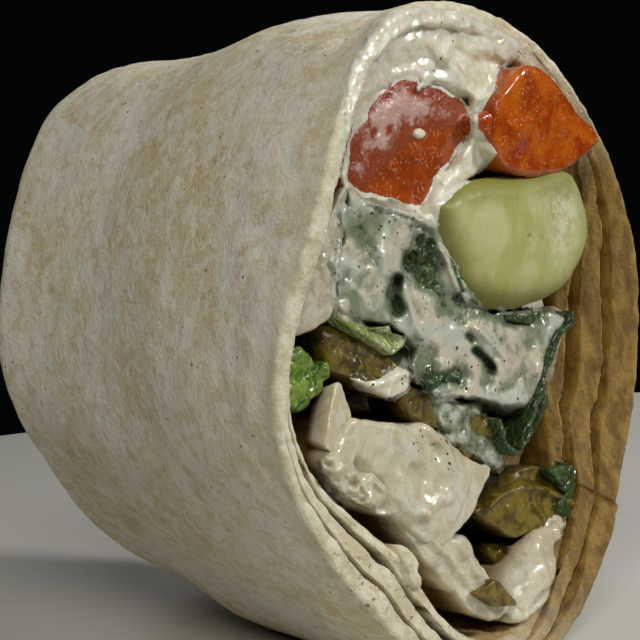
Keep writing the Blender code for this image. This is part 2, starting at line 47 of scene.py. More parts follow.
# The roll's shape: the same named values as in part.py, but for a wall up to 1.3 mm thinner at the lower left.
MID_Z, TOP_Z, HALF_X = 34.5, 70.8, 31.8
ROLL = [31.9, 33.2, 34.0, 35.0, 35.9, 36.3, 36.9, 37.6, 37.0, 35.0, 33.0, 32.1,
        31.9, 31.0, 29.9, 29.9, 30.7, 32.6, 34.4, 34.8, 33.8, 32.2, 31.3, 31.5]
WALL = [8.8, 8.0, 6.2, 4.4, 3.4, 3.0, 2.7, 2.4, 2.2, 2.2, 2.2, 2.1,
        2.2, 3.4, 5.4, 6.7, 6.1, 5.2, 4.9, 4.9, 5.4, 6.4, 8.0, 9.0]
EDGE = [0.0, 0.0, 0.3, 0.6, 0.8, 0.4, 0.0, -0.6, -2.0, -3.2, -3.0, -1.2,
        0.0, 0.3, 0.0, -0.3, 0.0, 0.3, 0.0, 0.0, 0.0, -0.3, 0.0, 0.0]
SLOT_OUT = [8.0, 7.0, 4.0, 1.2, 0.0, 0.0, 0.0, 0.0, 0.0, 0.0, 0.0, 0.0,
            0.0, 0.6, 1.6, 2.0, 2.0, 1.2, 0.8, 2.0, 5.0, 8.0, 9.0, 9.0]
SLOT_IN = [10.0, 6.0, 1.5, 0.0, 0.0, 0.0, 0.0, 0.0, 0.0, 0.0, 0.0, 0.0,
           0.0, 2.0, 6.0, 8.0, 7.0, 3.0, 0.8, 1.0, 4.0, 9.0, 11.0, 11.0]
# How much deeper the inner layers end than the outermost one.
BEVEL = [7.5, 6.5, 5.0, 3.2, 1.6, 0.6, 0.0, 0.0, 0.0, 0.0, 0.0, 0.0,
         0.0, 0.0, 0.0, 0.0, 0.0, 0.0, 0.6, 2.0, 3.6, 5.0, 6.5, 7.5]
SLOT_OUT_AT = (0.33, 0.42)
SLOT_IN_AT = (0.66, 0.78)
SIDE_L = 54.6
CAP_L = 7.6
FLOOR_Y = 44.0
TOP_DROP = (0.0, -0.2, 1.0, 0.2)
BOTTOM_RISE = (0.0, 1.3, 2.6, 4.0)
SIDE_IN = (0.0, 3.0, 5.0, 4.0)
DRIFT = (0.0, 1.0, 3.6, 7.4)
FLAT_Z = 1.0
SEAM_DEG = 321.0
SEAM_STEP = 1.3
FOLD_STEP = 1.8


# ---------------------------------------------------------------- numbers

def ease(t):
    t = np.clip(t, 0.0, 1.0)
    return t * t * (3 - 2 * t)


def curve(a, b, c, d, t):
    return b + 0.5 * t * (c - a + t * (2 * a - 5 * b + 4 * c - d + t * (3 * b - a - 3 * c + d)))


def turn(table, deg):
    """Smooth value round a table of equal steps of angle."""
    table = np.array(table)
    n = len(table)
    f = (deg % 360.0) / 360.0 * n
    i = np.floor(f).astype(int)
    return curve(*(table[(i + k) % n] for k in (-1, 0, 1, 2)), f - i)


def run(table, y):
    """Smooth value along the length of the roll."""
    table = np.array(table)
    n = len(table) - 1
    f = np.clip(y / SIDE_L, 0.0, 1.0) * n
    i = np.minimum(np.floor(f).astype(int), n - 1)
    return curve(*(table[np.clip(i + k, 0, n)] for k in (-1, 0, 1, 2)), f - i)


def lattice(ix, iy, iz, seed):
    h = (ix * 374761393 + iy * 668265263 + iz * 1442695041 + seed * 144665 + 1013904223) & 0xFFFFFFFF
    h = ((h ^ (h >> 13)) * 1274126177) & 0xFFFFFFFF
    return ((h ^ (h >> 16)) & 0xFFFF) / 32767.5 - 1.0


def grain(p, size, seed=0):
    """Smooth noise between -1 and 1 at the points p, with features of about that size in mm."""
    q = np.asarray(p, float) / np.asarray(size, float)
    i = np.floor(q).astype(np.int64)
    f = q - i
    u = f * f * f * (f * (f * 6 - 15) + 10)
    total = np.zeros(len(q))
    for corner in np.ndindex(2, 2, 2):
        wx, wy, wz = (w if side else 1 - w for side, w in zip(corner, u.T))
        total += wx * wy * wz * lattice(*(i + corner).T, seed)
    return total


def fractal(p, size, seed=0, octaves=3):
    total, scale, weight = 0.0, 1.0, 1.0
    for k in range(octaves):
        total = total + weight * grain(p, np.asarray(size) * scale, seed + 17 * k)
        scale, weight = scale * 0.5, weight * 0.5
    return total


def part_wave(p, size, seed):
    """The same noise as part.py uses, so that low lumps fall in the same places."""
    return np.array([noise.noise(Vector((x / size + seed * 7.3, y / size - seed * 3.1, z / size + seed)))
                     for x, y, z in p])


# ---------------------------------------------------------------- meshes

def link(ob):
    bpy.context.scene.collection.objects.link(ob)
    return ob


def new_object(name, points, faces):
    """A piece from points in the part's own millimetres."""
    mesh = bpy.data.meshes.new(name)
    pts = (np.asarray(points, float) + SHIFT) * MM
    mesh.from_pydata(pts.tolist(), [], [list(map(int, f)) for f in faces])
    mesh.update()
    mesh.shade_smooth()
    return link(bpy.data.objects.new(name, mesh))


def coords(ob):
    """The piece's points in the part's own millimetres."""
    out = np.empty(len(ob.data.vertices) * 3)
    ob.data.vertices.foreach_get("co", out)
    return out.reshape(-1, 3) / MM - SHIFT


def put_coords(ob, p):
    ob.data.vertices.foreach_set("co", ((p + SHIFT) * MM).ravel())
    ob.data.update()


def normals(ob):
    out = np.empty(len(ob.data.vertices) * 3)
    ob.data.vertex_normals.foreach_get("vector", out)
    return out.reshape(-1, 3)


def outward(ob):
    """Turns the piece's faces to look outwards."""
    bm = bmesh.new()
    bm.from_mesh(ob.data)
    bmesh.ops.recalc_face_normals(bm, faces=bm.faces)
    bm.to_mesh(ob.data)
    bm.free()
    ob.data.shade_smooth()


def tube(name, rings):
    """A closed piece from rings of points, shut with a point in the middle of each end."""
    pts = np.concatenate([*rings, [rings[0].mean(axis=0), rings[-1].mean(axis=0)]])
    n, total = len(rings[0]), len(pts) - 2
    a = np.arange(n)
    b = (a + 1) % n
    faces = [np.stack([i + a, i + n + a, i + n + b, i + b], 1) for i in range(0, total - n, n)]
    faces = np.concatenate(faces).tolist()
    faces += [[total, j, k] for j, k in zip(a, b)] + [[total + 1, total - n + k, total - n + j] for j, k in zip(a, b)]
    ob = new_object(name, pts, faces)
    outward(ob)
    return ob


def paint(ob, name, values):
    """Stores one number for each point, for the material to read."""
    attr = ob.data.attributes.new(name, "FLOAT", "POINT")
    attr.data.foreach_set("value", np.asarray(values, np.float32))


def settled(ob):
    """Applies the piece's modifiers."""
    graph = bpy.context.evaluated_depsgraph_get()
    mesh = bpy.data.meshes.new_from_object(ob.evaluated_get(graph))
    ob.modifiers.clear()
    old, ob.data = ob.data, mesh
    bpy.data.meshes.remove(old)
    ob.data.shade_smooth()
    return ob


def from_node(node, voxel, relax):
    """A fine, rounded copy of a CAD node, a little larger than it."""
    ob = link(bpy.data.objects.new(node + "_piece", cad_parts[node].data.copy()))
    ob.data.materials.clear()
    mod = ob.modifiers.new("fine", "REMESH")
    mod.mode = "VOXEL"
    mod.voxel_size = voxel * MM
    mod = ob.modifiers.new("round", "SMOOTH")
    mod.factor = 0.5
    mod.iterations = relax
    settled(ob)
    put_coords(ob, coords(ob) + normals(ob) * 0.15)
    return ob


def add_piece(ob, mat, slot, *nodes):
    ob.data.materials.clear()
    ob.data.materials.append(mat)
    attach(ob, "root")
    if nodes:
        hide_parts(*nodes)
    return ob


def facing(ob):
    """1 where the surface looks out of the cut, 0 where it looks sideways or back."""
    return ease((-normals(ob)[:, 1] - 0.15) / 0.5)


# ---------------------------------------------------------------- tortilla

def seam_drop(deg):
    past = (deg - SEAM_DEG) % 360.0
    return np.where(past < 75.0, SEAM_STEP * (1 - ease(past / 75.0)), 0.0)


def spans(y):
    """Top, bottom and share of its full width that the roll has at a depth behind the cut."""
    return TOP_Z - run(TOP_DROP, y), run(BOTTOM_RISE, y), 1 - run(SIDE_IN, y) / HALF_X


def place(deg, radius, y, shrink=1.0):
    a = np.radians(deg)
    top, bottom, wide = spans(y)
    x = radius * np.cos(a) * wide
    z = bottom + (MID_Z + radius * np.sin(a)) * (top - bottom) / TOP_Z
    mid = (top + bottom) / 2
    x, z = x * shrink, mid + (z - mid) * shrink
    under = ease(1 - np.abs((deg % 360.0) - 270.0) / 42.0) * ease((SIDE_L - 6 - y) / 16.0)
    z = z - bottom * under * (radius / 34.0)
    return np.stack([x + run(DRIFT, y), y + 0 * x, z], axis=1)


def outer(deg, y, shrink=1.0):
    step = seam_drop(deg) * (0.6 + 0.4 * ease(y / 10.0))
    p = place(deg, turn(ROLL, deg) - step, y, shrink)
    lump = 0.5 * part_wave(p, 13.0, 1) * ease((y - 1) / 6.0)
    s = 1 + lump / 34.0
    p[:, 0] *= s
    p[:, 2] = np.maximum(MID_Z + (p[:, 2] - MID_Z) * s, FLAT_Z)
    return p


def inner_radius(deg, y):
    """The hollow's radius. The wall grows thicker towards the closed end."""
    return turn(ROLL, deg) - turn(WALL, deg) - 4.0 * ease((y - 30.0) / (FLOOR_Y - 30.0))


def cap_row(deg, t):
    k = max(math.cos(t * math.pi / 2), 0.02) ** 0.85
    p = outer(deg, np.full(len(deg), SIDE_L), k)
    x, z = p[:, 0], p[:, 2]
    y = SIDE_L + CAP_L * math.sin(t * math.pi / 2)
    cx, cz = x - DRIFT[-1], z - 36.5
    flap = 0.80 * cx + 0.60 * cz + 1.5 * np.sin(cz / 9.0)
    y = y + FOLD_STEP * (ease((flap + 6.0) / 2.6) - 0.5) * ease(t * 2.2)
    tuck = -0.45 * cx + 0.89 * cz
    y = y + 0.6 * FOLD_STEP * ease((tuck - 6.0) / 3.0) * ease(t * 2.5) * ease((-flap - 3.0) / 4.0)
    y = y + 1.1 * part_wave(np.stack([x, 0 * x, z], 1), 10.0, 3) * ease(t * 3)
    p[:, 1] = y
    return p


def window(part, lo, hi, soft):
    """1 between lo and hi, falling to 0 over a short soft edge."""
    return ease((part - lo + soft) / soft) * ease((hi + soft - part) / soft)


def rim_row(deg, part):
    """A row of the cut edge, from the outside (part = 0) to the hollow (part = 1)."""
    w = turn(WALL, deg)
    step = seam_drop(deg) * 0.6
    real = w - step
    around = np.stack([np.cos(np.radians(deg)), np.sin(np.radians(deg)), 0 * deg], 1) * 34.0
    sway = 0.035 * grain(around, 7.0, 3) + 0.015 * grain(around, 2.5, 4)
    depth = 0.0
    for k, (table, at) in enumerate(((SLOT_OUT, SLOT_OUT_AT), (SLOT_IN, SLOT_IN_AT))):
        deep = np.maximum(turn(table, deg), 0.0)
        wide = 0.014 + 0.02 * (1 + grain(around, 4.0, 8 + k)) * (deep > 0.3)
        depth = depth + deep * (0.85 + 0.3 * grain(around, 6.0, 5 + k)) * window(part + sway, at[0] + wide, at[1], 0.02)
    d_out, d_in = part * real, (1 - part) * real
    y = turn(EDGE, deg)
    for d, r in ((d_out, 0.75), (d_in, 0.55)):
        y = y + r * (1 - np.sqrt(np.clip(1 - np.clip(1 - d / r, 0, 1) ** 2, 0, 1)))
    layer = np.where(part < 0.38, 0, np.where(part < 0.72, 1, 2))
    tip = around + np.stack([0 * deg, 0 * deg, 0 * deg + layer * 40.0], 1)
    y = y + 0.45 * grain(tip, 5.0, 12) * ease(real / 3 - 0.6) * ease(d_out) * ease(d_in)
    y = y + depth + turn(BEVEL, deg) * part
    p = place(deg, turn(ROLL, deg) - step - real * part, y)
    # The second value is the slots' depth here, used as painted shade in them.
    return p, np.clip(depth / 3.0, 0, 1)


def make_tortilla():
    deg = np.unique(np.concatenate([np.arange(0, 360, 0.8), SEAM_DEG + np.array([-0.5, -0.2, 0.05, 0.3])]))
    n = len(deg)
    edge = turn(EDGE, deg)
    # Each row's kind: 0 is skin, 1 is the cut edge and 2 is the hollow.
    rows, skin, deep = [], [], []

    def add(p, kind, dark=0.0):
        rows.append(p)
        skin.append(np.full(n, kind))
        deep.append(dark + np.zeros(n))

    for t in np.linspace(0.985, 0.0, 34):
        add(cap_row(deg, float(t)), 0.0)
    for s in np.linspace(1.0, 0.0, 74)[1:-1]:
        add(outer(deg, edge + 0.75 + (SIDE_L - edge - 0.75) * s), 0.0)
    parts = np.unique(np.concatenate([
        np.linspace(0, 1, 34), (0.01, 0.02, 0.04, 0.08, 0.1, 0.9, 0.95, 0.975, 0.99),
        np.arange(0.30, 0.47, 0.012), np.arange(0.62, 0.83, 0.012)]))
    for part in parts:
        # dark is how deep the slots lie here, kept for painted shade in them.
        p, dark = rim_row(deg, float(part))
        add(p, 1.0 if part > 0.02 else 0.5, dark)
    lip = edge + 0.6 + turn(BEVEL, deg)
    for s in np.linspace(0.0, 1.0, 28)[1:] ** 1.5:
        y = lip + (FLOOR_Y - lip) * s
        add(place(deg, inner_radius(deg, y), y), 2.0)
    y = np.full(n, FLOOR_Y + 0.8)
    for k in (0.85, 0.7, 0.5, 0.3, 0.1):
        add(place(deg, inner_radius(deg, y), y, k), 2.0)
    ob = tube("tortilla_wrap", rows)
    skin = np.concatenate(skin + [[0.0, 2.0]])
    deep = np.concatenate(deep + [[0.0, 0.0]])
    p, nrm = coords(ob), normals(ob)
    out = ease(1 - skin)
    rim = ease(1 - np.abs(skin - 1))
    low = np.clip((p[:, 2] - 1.5) / 2.0, 0, 1)
    move = out * low * (0.10 * fractal(p, 5.0, 21) + 0.05 * grain(p, 1.6, 22))
    near = np.exp(-((p[:, 1] - 3.0) / 6.0) ** 2) * out
    move += near * 0.22 * grain(p, (6.0, 2.2, 2.4), 24) * low
    move += rim * (0.10 * fractal(p, 1.5, 25) + 0.05 * grain(p, 0.5, 26))
    move += ease(skin - 1) * 0.15 * fractal(p, 2.5, 27)
    p = p + nrm * (move - 0.12 * out)[:, None]
    p[:, 2] = np.maximum(p[:, 2], FLAT_Z)
    put_coords(ob, p)
    near = out * np.exp(-np.maximum(p[:, 1] - np.interp(np.degrees(np.arctan2(p[:, 2] - MID_Z, p[:, 0])) % 360.0,
                                                        np.arange(0, 360, 15), EDGE, period=360) - 0.4, 0) / 1.6)
    paint(ob, "rim", np.clip(rim + 0.8 * near, 0, 1))
    paint(ob, "inside", ease(skin - 1))
    # Painted shade: the slots between the layers are marked darker the deeper they run.
    paint(ob, "deep", deep)
    # Painted shade: the cut edge and hollow on the right are marked to take a dark warm brown, a little less at the
    # layer tips that face the cut.
    side = ease((12.0 + p[:, 0]) / 32.0) * ease((66.0 - p[:, 2]) / 14.0) * (1 - out)
    side = side * (1 - 0.08 * rim * ease((-nrm[:, 1] - 0.5) / 0.4))
    paint(ob, "brown", side)
    paint(ob, "pores", rim * ease((24.0 - p[:, 2]) / 10.0) * ease((4.0 - p[:, 0]) / 8.0))
    return ob


# ---------------------------------------------------------------- materials

class Shader:
    """A few short names for building a node material, with sizes in millimetres."""

    def __init__(self, name, rough=0.5, sub=0.0, radius=(1.0, 0.5, 0.3), scale=1.0, coat=0.0, coat_rough=0.2,
                 spec=0.5):
        self.mat = bpy.data.materials.new(name)
        self.mat.use_nodes = True
        self.tree = self.mat.node_tree
        self.bsdf = self.tree.nodes["Principled BSDF"]
        for socket, value in (("Roughness", rough), ("Subsurface Weight", sub), ("Subsurface Radius", radius),
                              ("Subsurface Scale", scale * MM), ("Coat Weight", coat),
                              ("Coat Roughness", coat_rough), ("Specular IOR Level", spec), ("IOR", 1.45)):
            self.bsdf.inputs[socket].default_value = value
        place_ = self.node("TexCoord", {}, "Object")
        self.mm = self.node("VectorMath", {0: place_, "Scale": 1000.0}, operation="SCALE")

    def join(self, value, socket):
        if hasattr(value, "is_output"):
            self.tree.links.new(value, socket)
        elif isinstance(value, tuple) and socket.type == "RGBA":
            socket.default_value = (*value, 1.0)
        else:
            socket.default_value = value

    def node(self, kind, inputs, out=0, **settings):
        node = self.tree.nodes.new("ShaderNode" + kind)
        for name, value in settings.items():
            setattr(node, name, value)
        for socket, value in inputs.items():
            self.join(value, node.inputs[socket])
        return node.outputs[out]

    def where(self, shift, seed, stretch):
        """Places on the piece, moved on with the seed, so that no two patterns fall together."""
        at = self.node("VectorMath", {0: self.mm, 1: tuple(seed * v for v in shift)}, operation="ADD")
        return self.node("VectorMath", {0: at, 1: stretch}, operation="MULTIPLY") if stretch else at

    def noise(self, size, detail=3.0, rough=0.55, twist=0.0, stretch=None, seed=0.0):
        return self.node("TexNoise", {"Vector": self.where((37.0, 11.0, 23.0), seed, stretch), "Scale": 1.0 / size,
                                      "Detail": detail, "Roughness": rough, "Distortion": twist}, "Fac")

    def cells(self, size, feature="F1", seed=0.0, stretch=None):
        return self.node("TexVoronoi", {"Vector": self.where((31.0, 17.0, 7.0), seed, stretch), "Scale": 1.0 / size},
                         "Distance", feature=feature)

    def step(self, value, lo, hi, out=(0.0, 1.0)):
        """Smooth step of a value from lo to hi."""
        return self.node("MapRange", {"Value": value, "From Min": lo, "From Max": hi, "To Min": out[0],
                                      "To Max": out[1]}, "Result", interpolation_type="SMOOTHSTEP")

    def plus(self, a, b):
        return self.node("Math", {0: a, 1: b}, operation="ADD")

    def times(self, a, b):
        return self.node("Math", {0: a, 1: b}, operation="MULTIPLY")

    def mix(self, amount, a, b):
        return self.node("Mix", {"Factor": amount, 6: a, 7: b}, 2, data_type="RGBA")

    def over(self, base, value, lo, hi, colour, most=1.0):
        """Lays a colour over the base as a value rises from lo to hi."""
        return self.mix(self.step(value, lo, hi, (0.0, most)), base, colour)

    def painted(self, name):
        return self.node("Attribute", {}, "Fac", attribute_name=name)

    def bump(self, height, far, strength=1.0, base=None):
        inputs = {"Strength": strength, "Distance": far * MM, "Height": height}
        return self.node("Bump", {**inputs, "Normal": base} if base else inputs, "Normal")

    def finish(self, colour, rough=None, normal=None):
        for socket, value in (("Base Color", colour), ("Roughness", rough), ("Normal", normal)):
            if value is not None:
                self.join(value, self.bsdf.inputs[socket])
        if normal is not None and self.bsdf.inputs["Coat Weight"].default_value:
            self.join(normal, self.bsdf.inputs["Coat Normal"])
        return self.mat


def tortilla_material():
    s = Shader("tortilla_skin", rough=0.62, sub=0.2, radius=(1.2, 0.7, 0.35), scale=0.8, spec=0.2)
    slant, grainy = (1.0, 0.7, 0.55), (1.0, 0.6, 0.8)
    broad = s.times(s.noise(11.0, 2, 0.5, 0.6, slant), 0.40)
    patch = s.plus(broad, s.times(s.noise(4.6, 7, 0.70, 1.2, slant, 2), 0.60))
    base = s.over((0.885, 0.85, 0.72), patch, 0.42, 0.59, (0.755, 0.65, 0.42))
    base = s.over(base, patch, 0.55, 0.68, (0.66, 0.50, 0.245), 0.7)
    base = s.over(base, s.noise(1.7, 5, 0.66, 0.8, grainy, 4), 0.49, 0.58, (0.89, 0.85, 0.71), 0.75)
    base = s.over(base, s.noise(1.2, 4, 0.66, 0.8, grainy, 14), 0.51, 0.62, (0.68, 0.53, 0.28), 0.5)
    dots = s.times(s.step(s.cells(2.0, seed=3), 0.10, 0.06), s.step(s.noise(3.1, 1, 0.5, seed=6), 0.44, 0.50))
    base = s.mix(s.times(dots, 0.85), base, (0.16, 0.085, 0.03))
    crumb = s.over((0.60, 0.53, 0.345), s.noise(1.6, 4, 0.6, 0.3, seed=8), 0.35, 0.65, (0.75, 0.71, 0.55))
    base = s.mix(s.painted("rim"), base, crumb)
    wall = s.over((0.46, 0.31, 0.13), s.noise(2.2, 4, 0.6, seed=9), 0.35, 0.65, (0.66, 0.52, 0.30))
    base = s.mix(s.painted("inside"), base, wall)
    # Painted shade: a streaky dark warm brown laid over the right wall's layers.
    streak = s.noise(1.6, 4, 0.62, 0.4, (1.0, 1.0, 0.35), 13)
    brown = s.over((0.145, 0.070, 0.006), streak, 0.35, 0.65, (0.32, 0.190, 0.030))
    base = s.mix(s.painted("brown"), base, brown)
    # Painted shade: darker in the slots between the layers, the deeper they run.
    base = s.mix(s.times(s.painted("deep"), 0.9), base, (0.10, 0.045, 0.010))
    some = s.step(s.noise(1.4, 2, 0.5, seed=15), 0.44, 0.56)
    # Pores in the lower crumb: sunk by the bump, and coloured darker as painted shade inside them.
    pores = s.step(s.cells(0.8, seed=5, stretch=(0.8, 1.4, 1.0)), 0.34, 0.12)
    pits = s.times(s.times(pores, some), s.painted("pores"))
    base = s.mix(s.times(pits, 0.7), base, (0.36, 0.25, 0.11))
    height = s.plus(s.times(pits, -2.0), s.times(s.noise(0.5, 4, 0.65, seed=7), 1.2))
    normal = s.bump(s.noise(2.0, 4, 0.55, seed=10), 0.4, 0.7, s.bump(height, 0.16, 0.9))
    return s.finish(base, s.step(patch, 0.4, 0.6, (0.52, 0.68)), normal)


def cream_material():
    s = Shader("hummus", rough=0.28, sub=0.35, radius=(1.5, 1.2, 0.7), scale=0.9, coat=0.7, coat_rough=0.04)
    tone = s.noise(1.8, 5, 0.6, 0.5)
    base = s.over((0.71, 0.67, 0.50), tone, 0.35, 0.65, (0.84, 0.82, 0.69))
    base = s.over(base, s.noise(2.2, 4, 0.55, 0.4, seed=6), 0.57, 0.68, (0.56, 0.45, 0.25), 0.55)
    # Painted shade: darker brown where the spread lies in shade, low on the right and deep in the gaps.
    base = s.mix(s.painted("brown"), base, (0.30, 0.19, 0.065))
    normal = s.bump(s.noise(0.3, 2, 0.5, seed=3), 0.06, 0.6, s.bump(s.noise(0.9, 3, 0.6), 0.24, 0.6))
    return s.finish(base, s.step(tone, 0.3, 0.7, (0.14, 0.26)), normal)


def glaze_material():
    """A thin milky smear that lets the red through where it is thin."""
    s = Shader("glaze", rough=0.26, sub=0.3, radius=(1.4, 0.6, 0.4), scale=0.8, coat=0.5, coat_rough=0.08)
    amount = s.plus(s.painted("cover"), s.times(s.noise(2.0, 5, 0.75, 0.8), 1.8))
    amount = s.plus(amount, s.times(s.noise(0.45, 3, 0.7, seed=4), 1.6))
    base = s.over((0.27, 0.042, 0.006), amount, 2.0, 3.0, (0.54, 0.34, 0.29))
    return s.finish(base, None, s.bump(s.noise(0.4, 3, 0.6), 0.16, 0.9))


def pepper_material(name, deep, bright):
    s = Shader(name, rough=0.28, sub=0.25, radius=(1.6, 0.35, 0.08), scale=0.8, coat=0.45, coat_rough=0.08, spec=0.3)
    base = s.over(deep, s.noise(3.6, 4, 0.6, 0.5), 0.35, 0.65, bright)
    grains = s.times(s.step(s.cells(0.42, seed=2), 0.42, 0.2), s.step(s.noise(1.6, 3, 0.6, seed=3), 0.44, 0.56))
    base = s.mix(s.times(grains, 0.5), base, (0.66, 0.25, 0.07))
    return s.finish(base, None, s.bump(grains, 0.06, 0.8, s.bump(s.noise(1.6, 3, 0.6, seed=5), 0.25, 0.6)))


def cucumber_material():
    s = Shader("cucumber", rough=0.36, sub=0.5, radius=(1.3, 1.4, 0.6), scale=1.4, spec=0.4)
    base = s.over((0.40, 0.41, 0.135), s.noise(5.0, 3, 0.5, 0.6), 0.35, 0.65, (0.52, 0.53, 0.25))
    streak = s.noise(0.9, 3, 0.6, 0.3, (1.0, 1.0, 0.3))
    base = s.over(base, streak, 0.52, 0.7, (0.60, 0.61, 0.37), 0.3)
    # Painted highlight: a broken paler patch on the right of the face.
    pale = s.times(s.painted("light"), s.step(s.noise(0.8, 4, 0.65, 0.5, seed=6), 0.35, 0.65))
    base = s.mix(s.times(pale, 0.8), base, (0.70, 0.72, 0.56))
    # Darker olive towards the edges of the face; along its top this is painted shadow from the pepper.
    base = s.mix(s.times(s.painted("edge"), 0.9), base, (0.20, 0.19, 0.025))
    normal = s.bump(s.noise(0.3, 3, 0.6, seed=3), 0.05, 0.6, s.bump(s.noise(1.0, 3, 0.5), 0.16, 0.5))
    gloss = s.plus(s.step(streak, 0.45, 0.65, (0.40, 0.24)), s.times(s.painted("edge"), 0.3))
    return s.finish(base, gloss, normal)


def leaf_material(name, dark, light):
    s = Shader(name, rough=0.35, sub=0.15, radius=(0.5, 0.9, 0.2), scale=0.5, coat=0.4, coat_rough=0.18)
    base = s.over(dark, s.noise(2.0, 4, 0.6, 0.6), 0.4, 0.65, light)
    veins = s.cells(1.3, "DISTANCE_TO_EDGE")
    base = s.over(base, veins, 0.07, 0.0, light, 0.5)
    return s.finish(base, None, s.bump(s.step(veins, 0.0, 0.25), 0.3, 0.6))


def greens_material():
    """Dark crinkled leaves with a grey film of dressing on them."""
    s = Shader("greens", rough=0.3, sub=0.15, radius=(0.6, 0.9, 0.4), scale=0.6, coat=0.5, coat_rough=0.12)
    base = s.over((0.035, 0.06, 0.018), s.noise(2.6, 4, 0.6, 1.0), 0.40, 0.62, (0.16, 0.20, 0.11))
    base = s.over(base, s.noise(3.6, 3, 0.55, 0.8, seed=3), 0.48, 0.62, (0.34, 0.37, 0.28), 0.75)
    return s.finish(base, None, s.bump(s.noise(0.8, 4, 0.6), 0.35, 0.8))


def dressing_material():
    """Thin creamy sauce: whitish where it lies thick, grey-green where the leaves show through, with herb flecks."""
    s = Shader("dressing", rough=0.22, sub=0.3, radius=(1.0, 1.0, 0.7), scale=0.9, coat=0.6, coat_rough=0.06)
    amount = s.plus(s.painted("cover"), s.times(s.noise(2.2, 5, 0.62, 1.2, seed=5), 1.7))
    amount = s.plus(amount, s.times(s.noise(6.0, 2, 0.5, 0.8, seed=8), 1.2))
    white = s.over((0.52, 0.54, 0.45), s.noise(5.0, 3, 0.5, 0.8), 0.42, 0.58, (0.60, 0.54, 0.42))
    base = s.over((0.018, 0.036, 0.014), amount, 0.95, 1.75, (0.20, 0.235, 0.145))
    base = s.over(base, amount, 1.75, 2.75, white)
    bits = s.times(s.step(s.cells(0.8, seed=2), 0.24, 0.12), s.step(s.noise(1.7, 2, 0.5, seed=7), 0.47, 0.55))
    base = s.mix(s.times(bits, 0.8), base, (0.02, 0.045, 0.015))
    normal = s.bump(s.noise(0.35, 2, 0.5, seed=4), 0.10, 0.8, s.bump(s.noise(1.1, 3, 0.55), 0.22, 0.5))
    return s.finish(base, None, normal)


def pickle_material(name, dark, light):
    s = Shader(name, rough=0.30, sub=0.3, radius=(1.0, 0.9, 0.2), scale=0.8, coat=0.3, coat_rough=0.06, spec=0.3)
    base = s.over(dark, s.noise(1.8, 4, 0.6, 0.8), 0.35, 0.65, light)
    # Painted shade: darker where the piece lies deeper behind the cut.
    base = s.mix(s.painted("deep"), base, (0.02, 0.012, 0.001))
    return s.finish(base, None, s.bump(s.noise(0.7, 3, 0.6), 0.3, 0.7))


def chicken_material(name, low, high, strand_tone):
    s = Shader(name, rough=0.26, sub=0.4, radius=(1.6, 1.1, 0.6), scale=1.1, coat=0.8, coat_rough=0.045)
    base = s.over(low, s.noise(2.4, 5, 0.62, 0.8), 0.35, 0.65, high)
    strand = s.noise(0.9, 4, 0.65, 0.4, (0.45, 1.0, 1.0), 2)
    base = s.over(base, strand, 0.53, 0.70, strand_tone, 0.4)
    milky = s.noise(3.2, 3, 0.5, 0.6, seed=5)
    base = s.over(base, milky, 0.52, 0.64, (0.66, 0.67, 0.59), 0.6)
    # Painted shade: darker where the piece lies deeper behind the cut.
    base = s.mix(s.painted("deep"), base, (0.13, 0.070, 0.018))
    normal = s.bump(s.noise(0.45, 2, 0.5, seed=4), 0.12, 0.7, s.bump(strand, 0.14, 0.45))
    return s.finish(base, s.step(milky, 0.45, 0.6, (0.36, 0.2)), normal)


def make_materials():
    return {
        "tortilla": tortilla_material(),
        "red": pepper_material("pepper_red", (0.23, 0.032, 0.003), (0.36, 0.062, 0.004)),
        "orange": pepper_material("pepper_orange", (0.31, 0.036, 0.002), (0.53, 0.115, 0.005)),
        "cucumber": cucumber_material(),
        "dark": leaf_material("leaf_dark", (0.012, 0.03, 0.006), (0.05, 0.10, 0.02)),
        "bright": leaf_material("leaf_bright", (0.05, 0.12, 0.008), (0.24, 0.36, 0.05)),
        "rib": leaf_material("rib", (0.20, 0.27, 0.05), (0.48, 0.52, 0.30)),
        "pickle": pickle_material("pickle", (0.045, 0.030, 0.002), (0.18, 0.135, 0.018)),
        "yellow": pickle_material("pickle_yellow", (0.065, 0.04, 0.003), (0.21, 0.15, 0.014)),
        "meat": chicken_material("chicken", (0.54, 0.475, 0.32), (0.65, 0.61, 0.46), (0.52, 0.43, 0.26)),
        "meat_grey": chicken_material("chicken_grey", (0.42, 0.36, 0.25), (0.62, 0.58, 0.46), (0.36, 0.28, 0.17)),
        "cream": cream_material(), "glaze": glaze_material(), "greens": greens_material(), "sauce": dressing_material(),
    }


# ---------------------------------------------------------------- fillings

CAM_TURN, CAM_TILT, CAM_ROLL = math.radians(-47.8), math.radians(5.0), math.radians(-4.0)
CAM_AT = np.array([-127.108, -120.835, 52.78])
CAM_PIXELS = 1500.0
BACK = np.array([math.sin(CAM_TURN) * math.cos(CAM_TILT), -math.cos(CAM_TURN) * math.cos(CAM_TILT), math.sin(CAM_TILT)])
RIGHT = np.array([math.cos(CAM_TURN), math.sin(CAM_TURN), 0.0])
UP = np.cross(BACK, RIGHT)


def pixels(points):
    """Places of the 640 x 640 view as an array. The text form is "x,y x,y"."""
    return np.asarray([p.split(",") for p in points.split()] if isinstance(points, str) else points, float)


def sight(px, py):
    """Directions from the camera through places of the view."""
    x, y = np.asarray(px, float) - 320.0, np.asarray(py, float) - 320.0
    c, s = math.cos(CAM_ROLL), math.sin(CAM_ROLL)
    x, y = x * c + y * s, y * c - x * s
    d = (x[..., None] * RIGHT - y[..., None] * UP) / CAM_PIXELS - BACK
    return d / np.linalg.norm(d, axis=-1, keepdims=True)


def on_plane(outline, y):
    """Where the view's pixels meet the plane at that depth behind the cut, as (x, z)."""
    cam = CAM_AT - SHIFT
    d = sight(*pixels(outline).T)
    k = (y - cam[1]) / d[:, 1]
    p = cam + d * k[:, None]
    return p[:, (0, 2)]


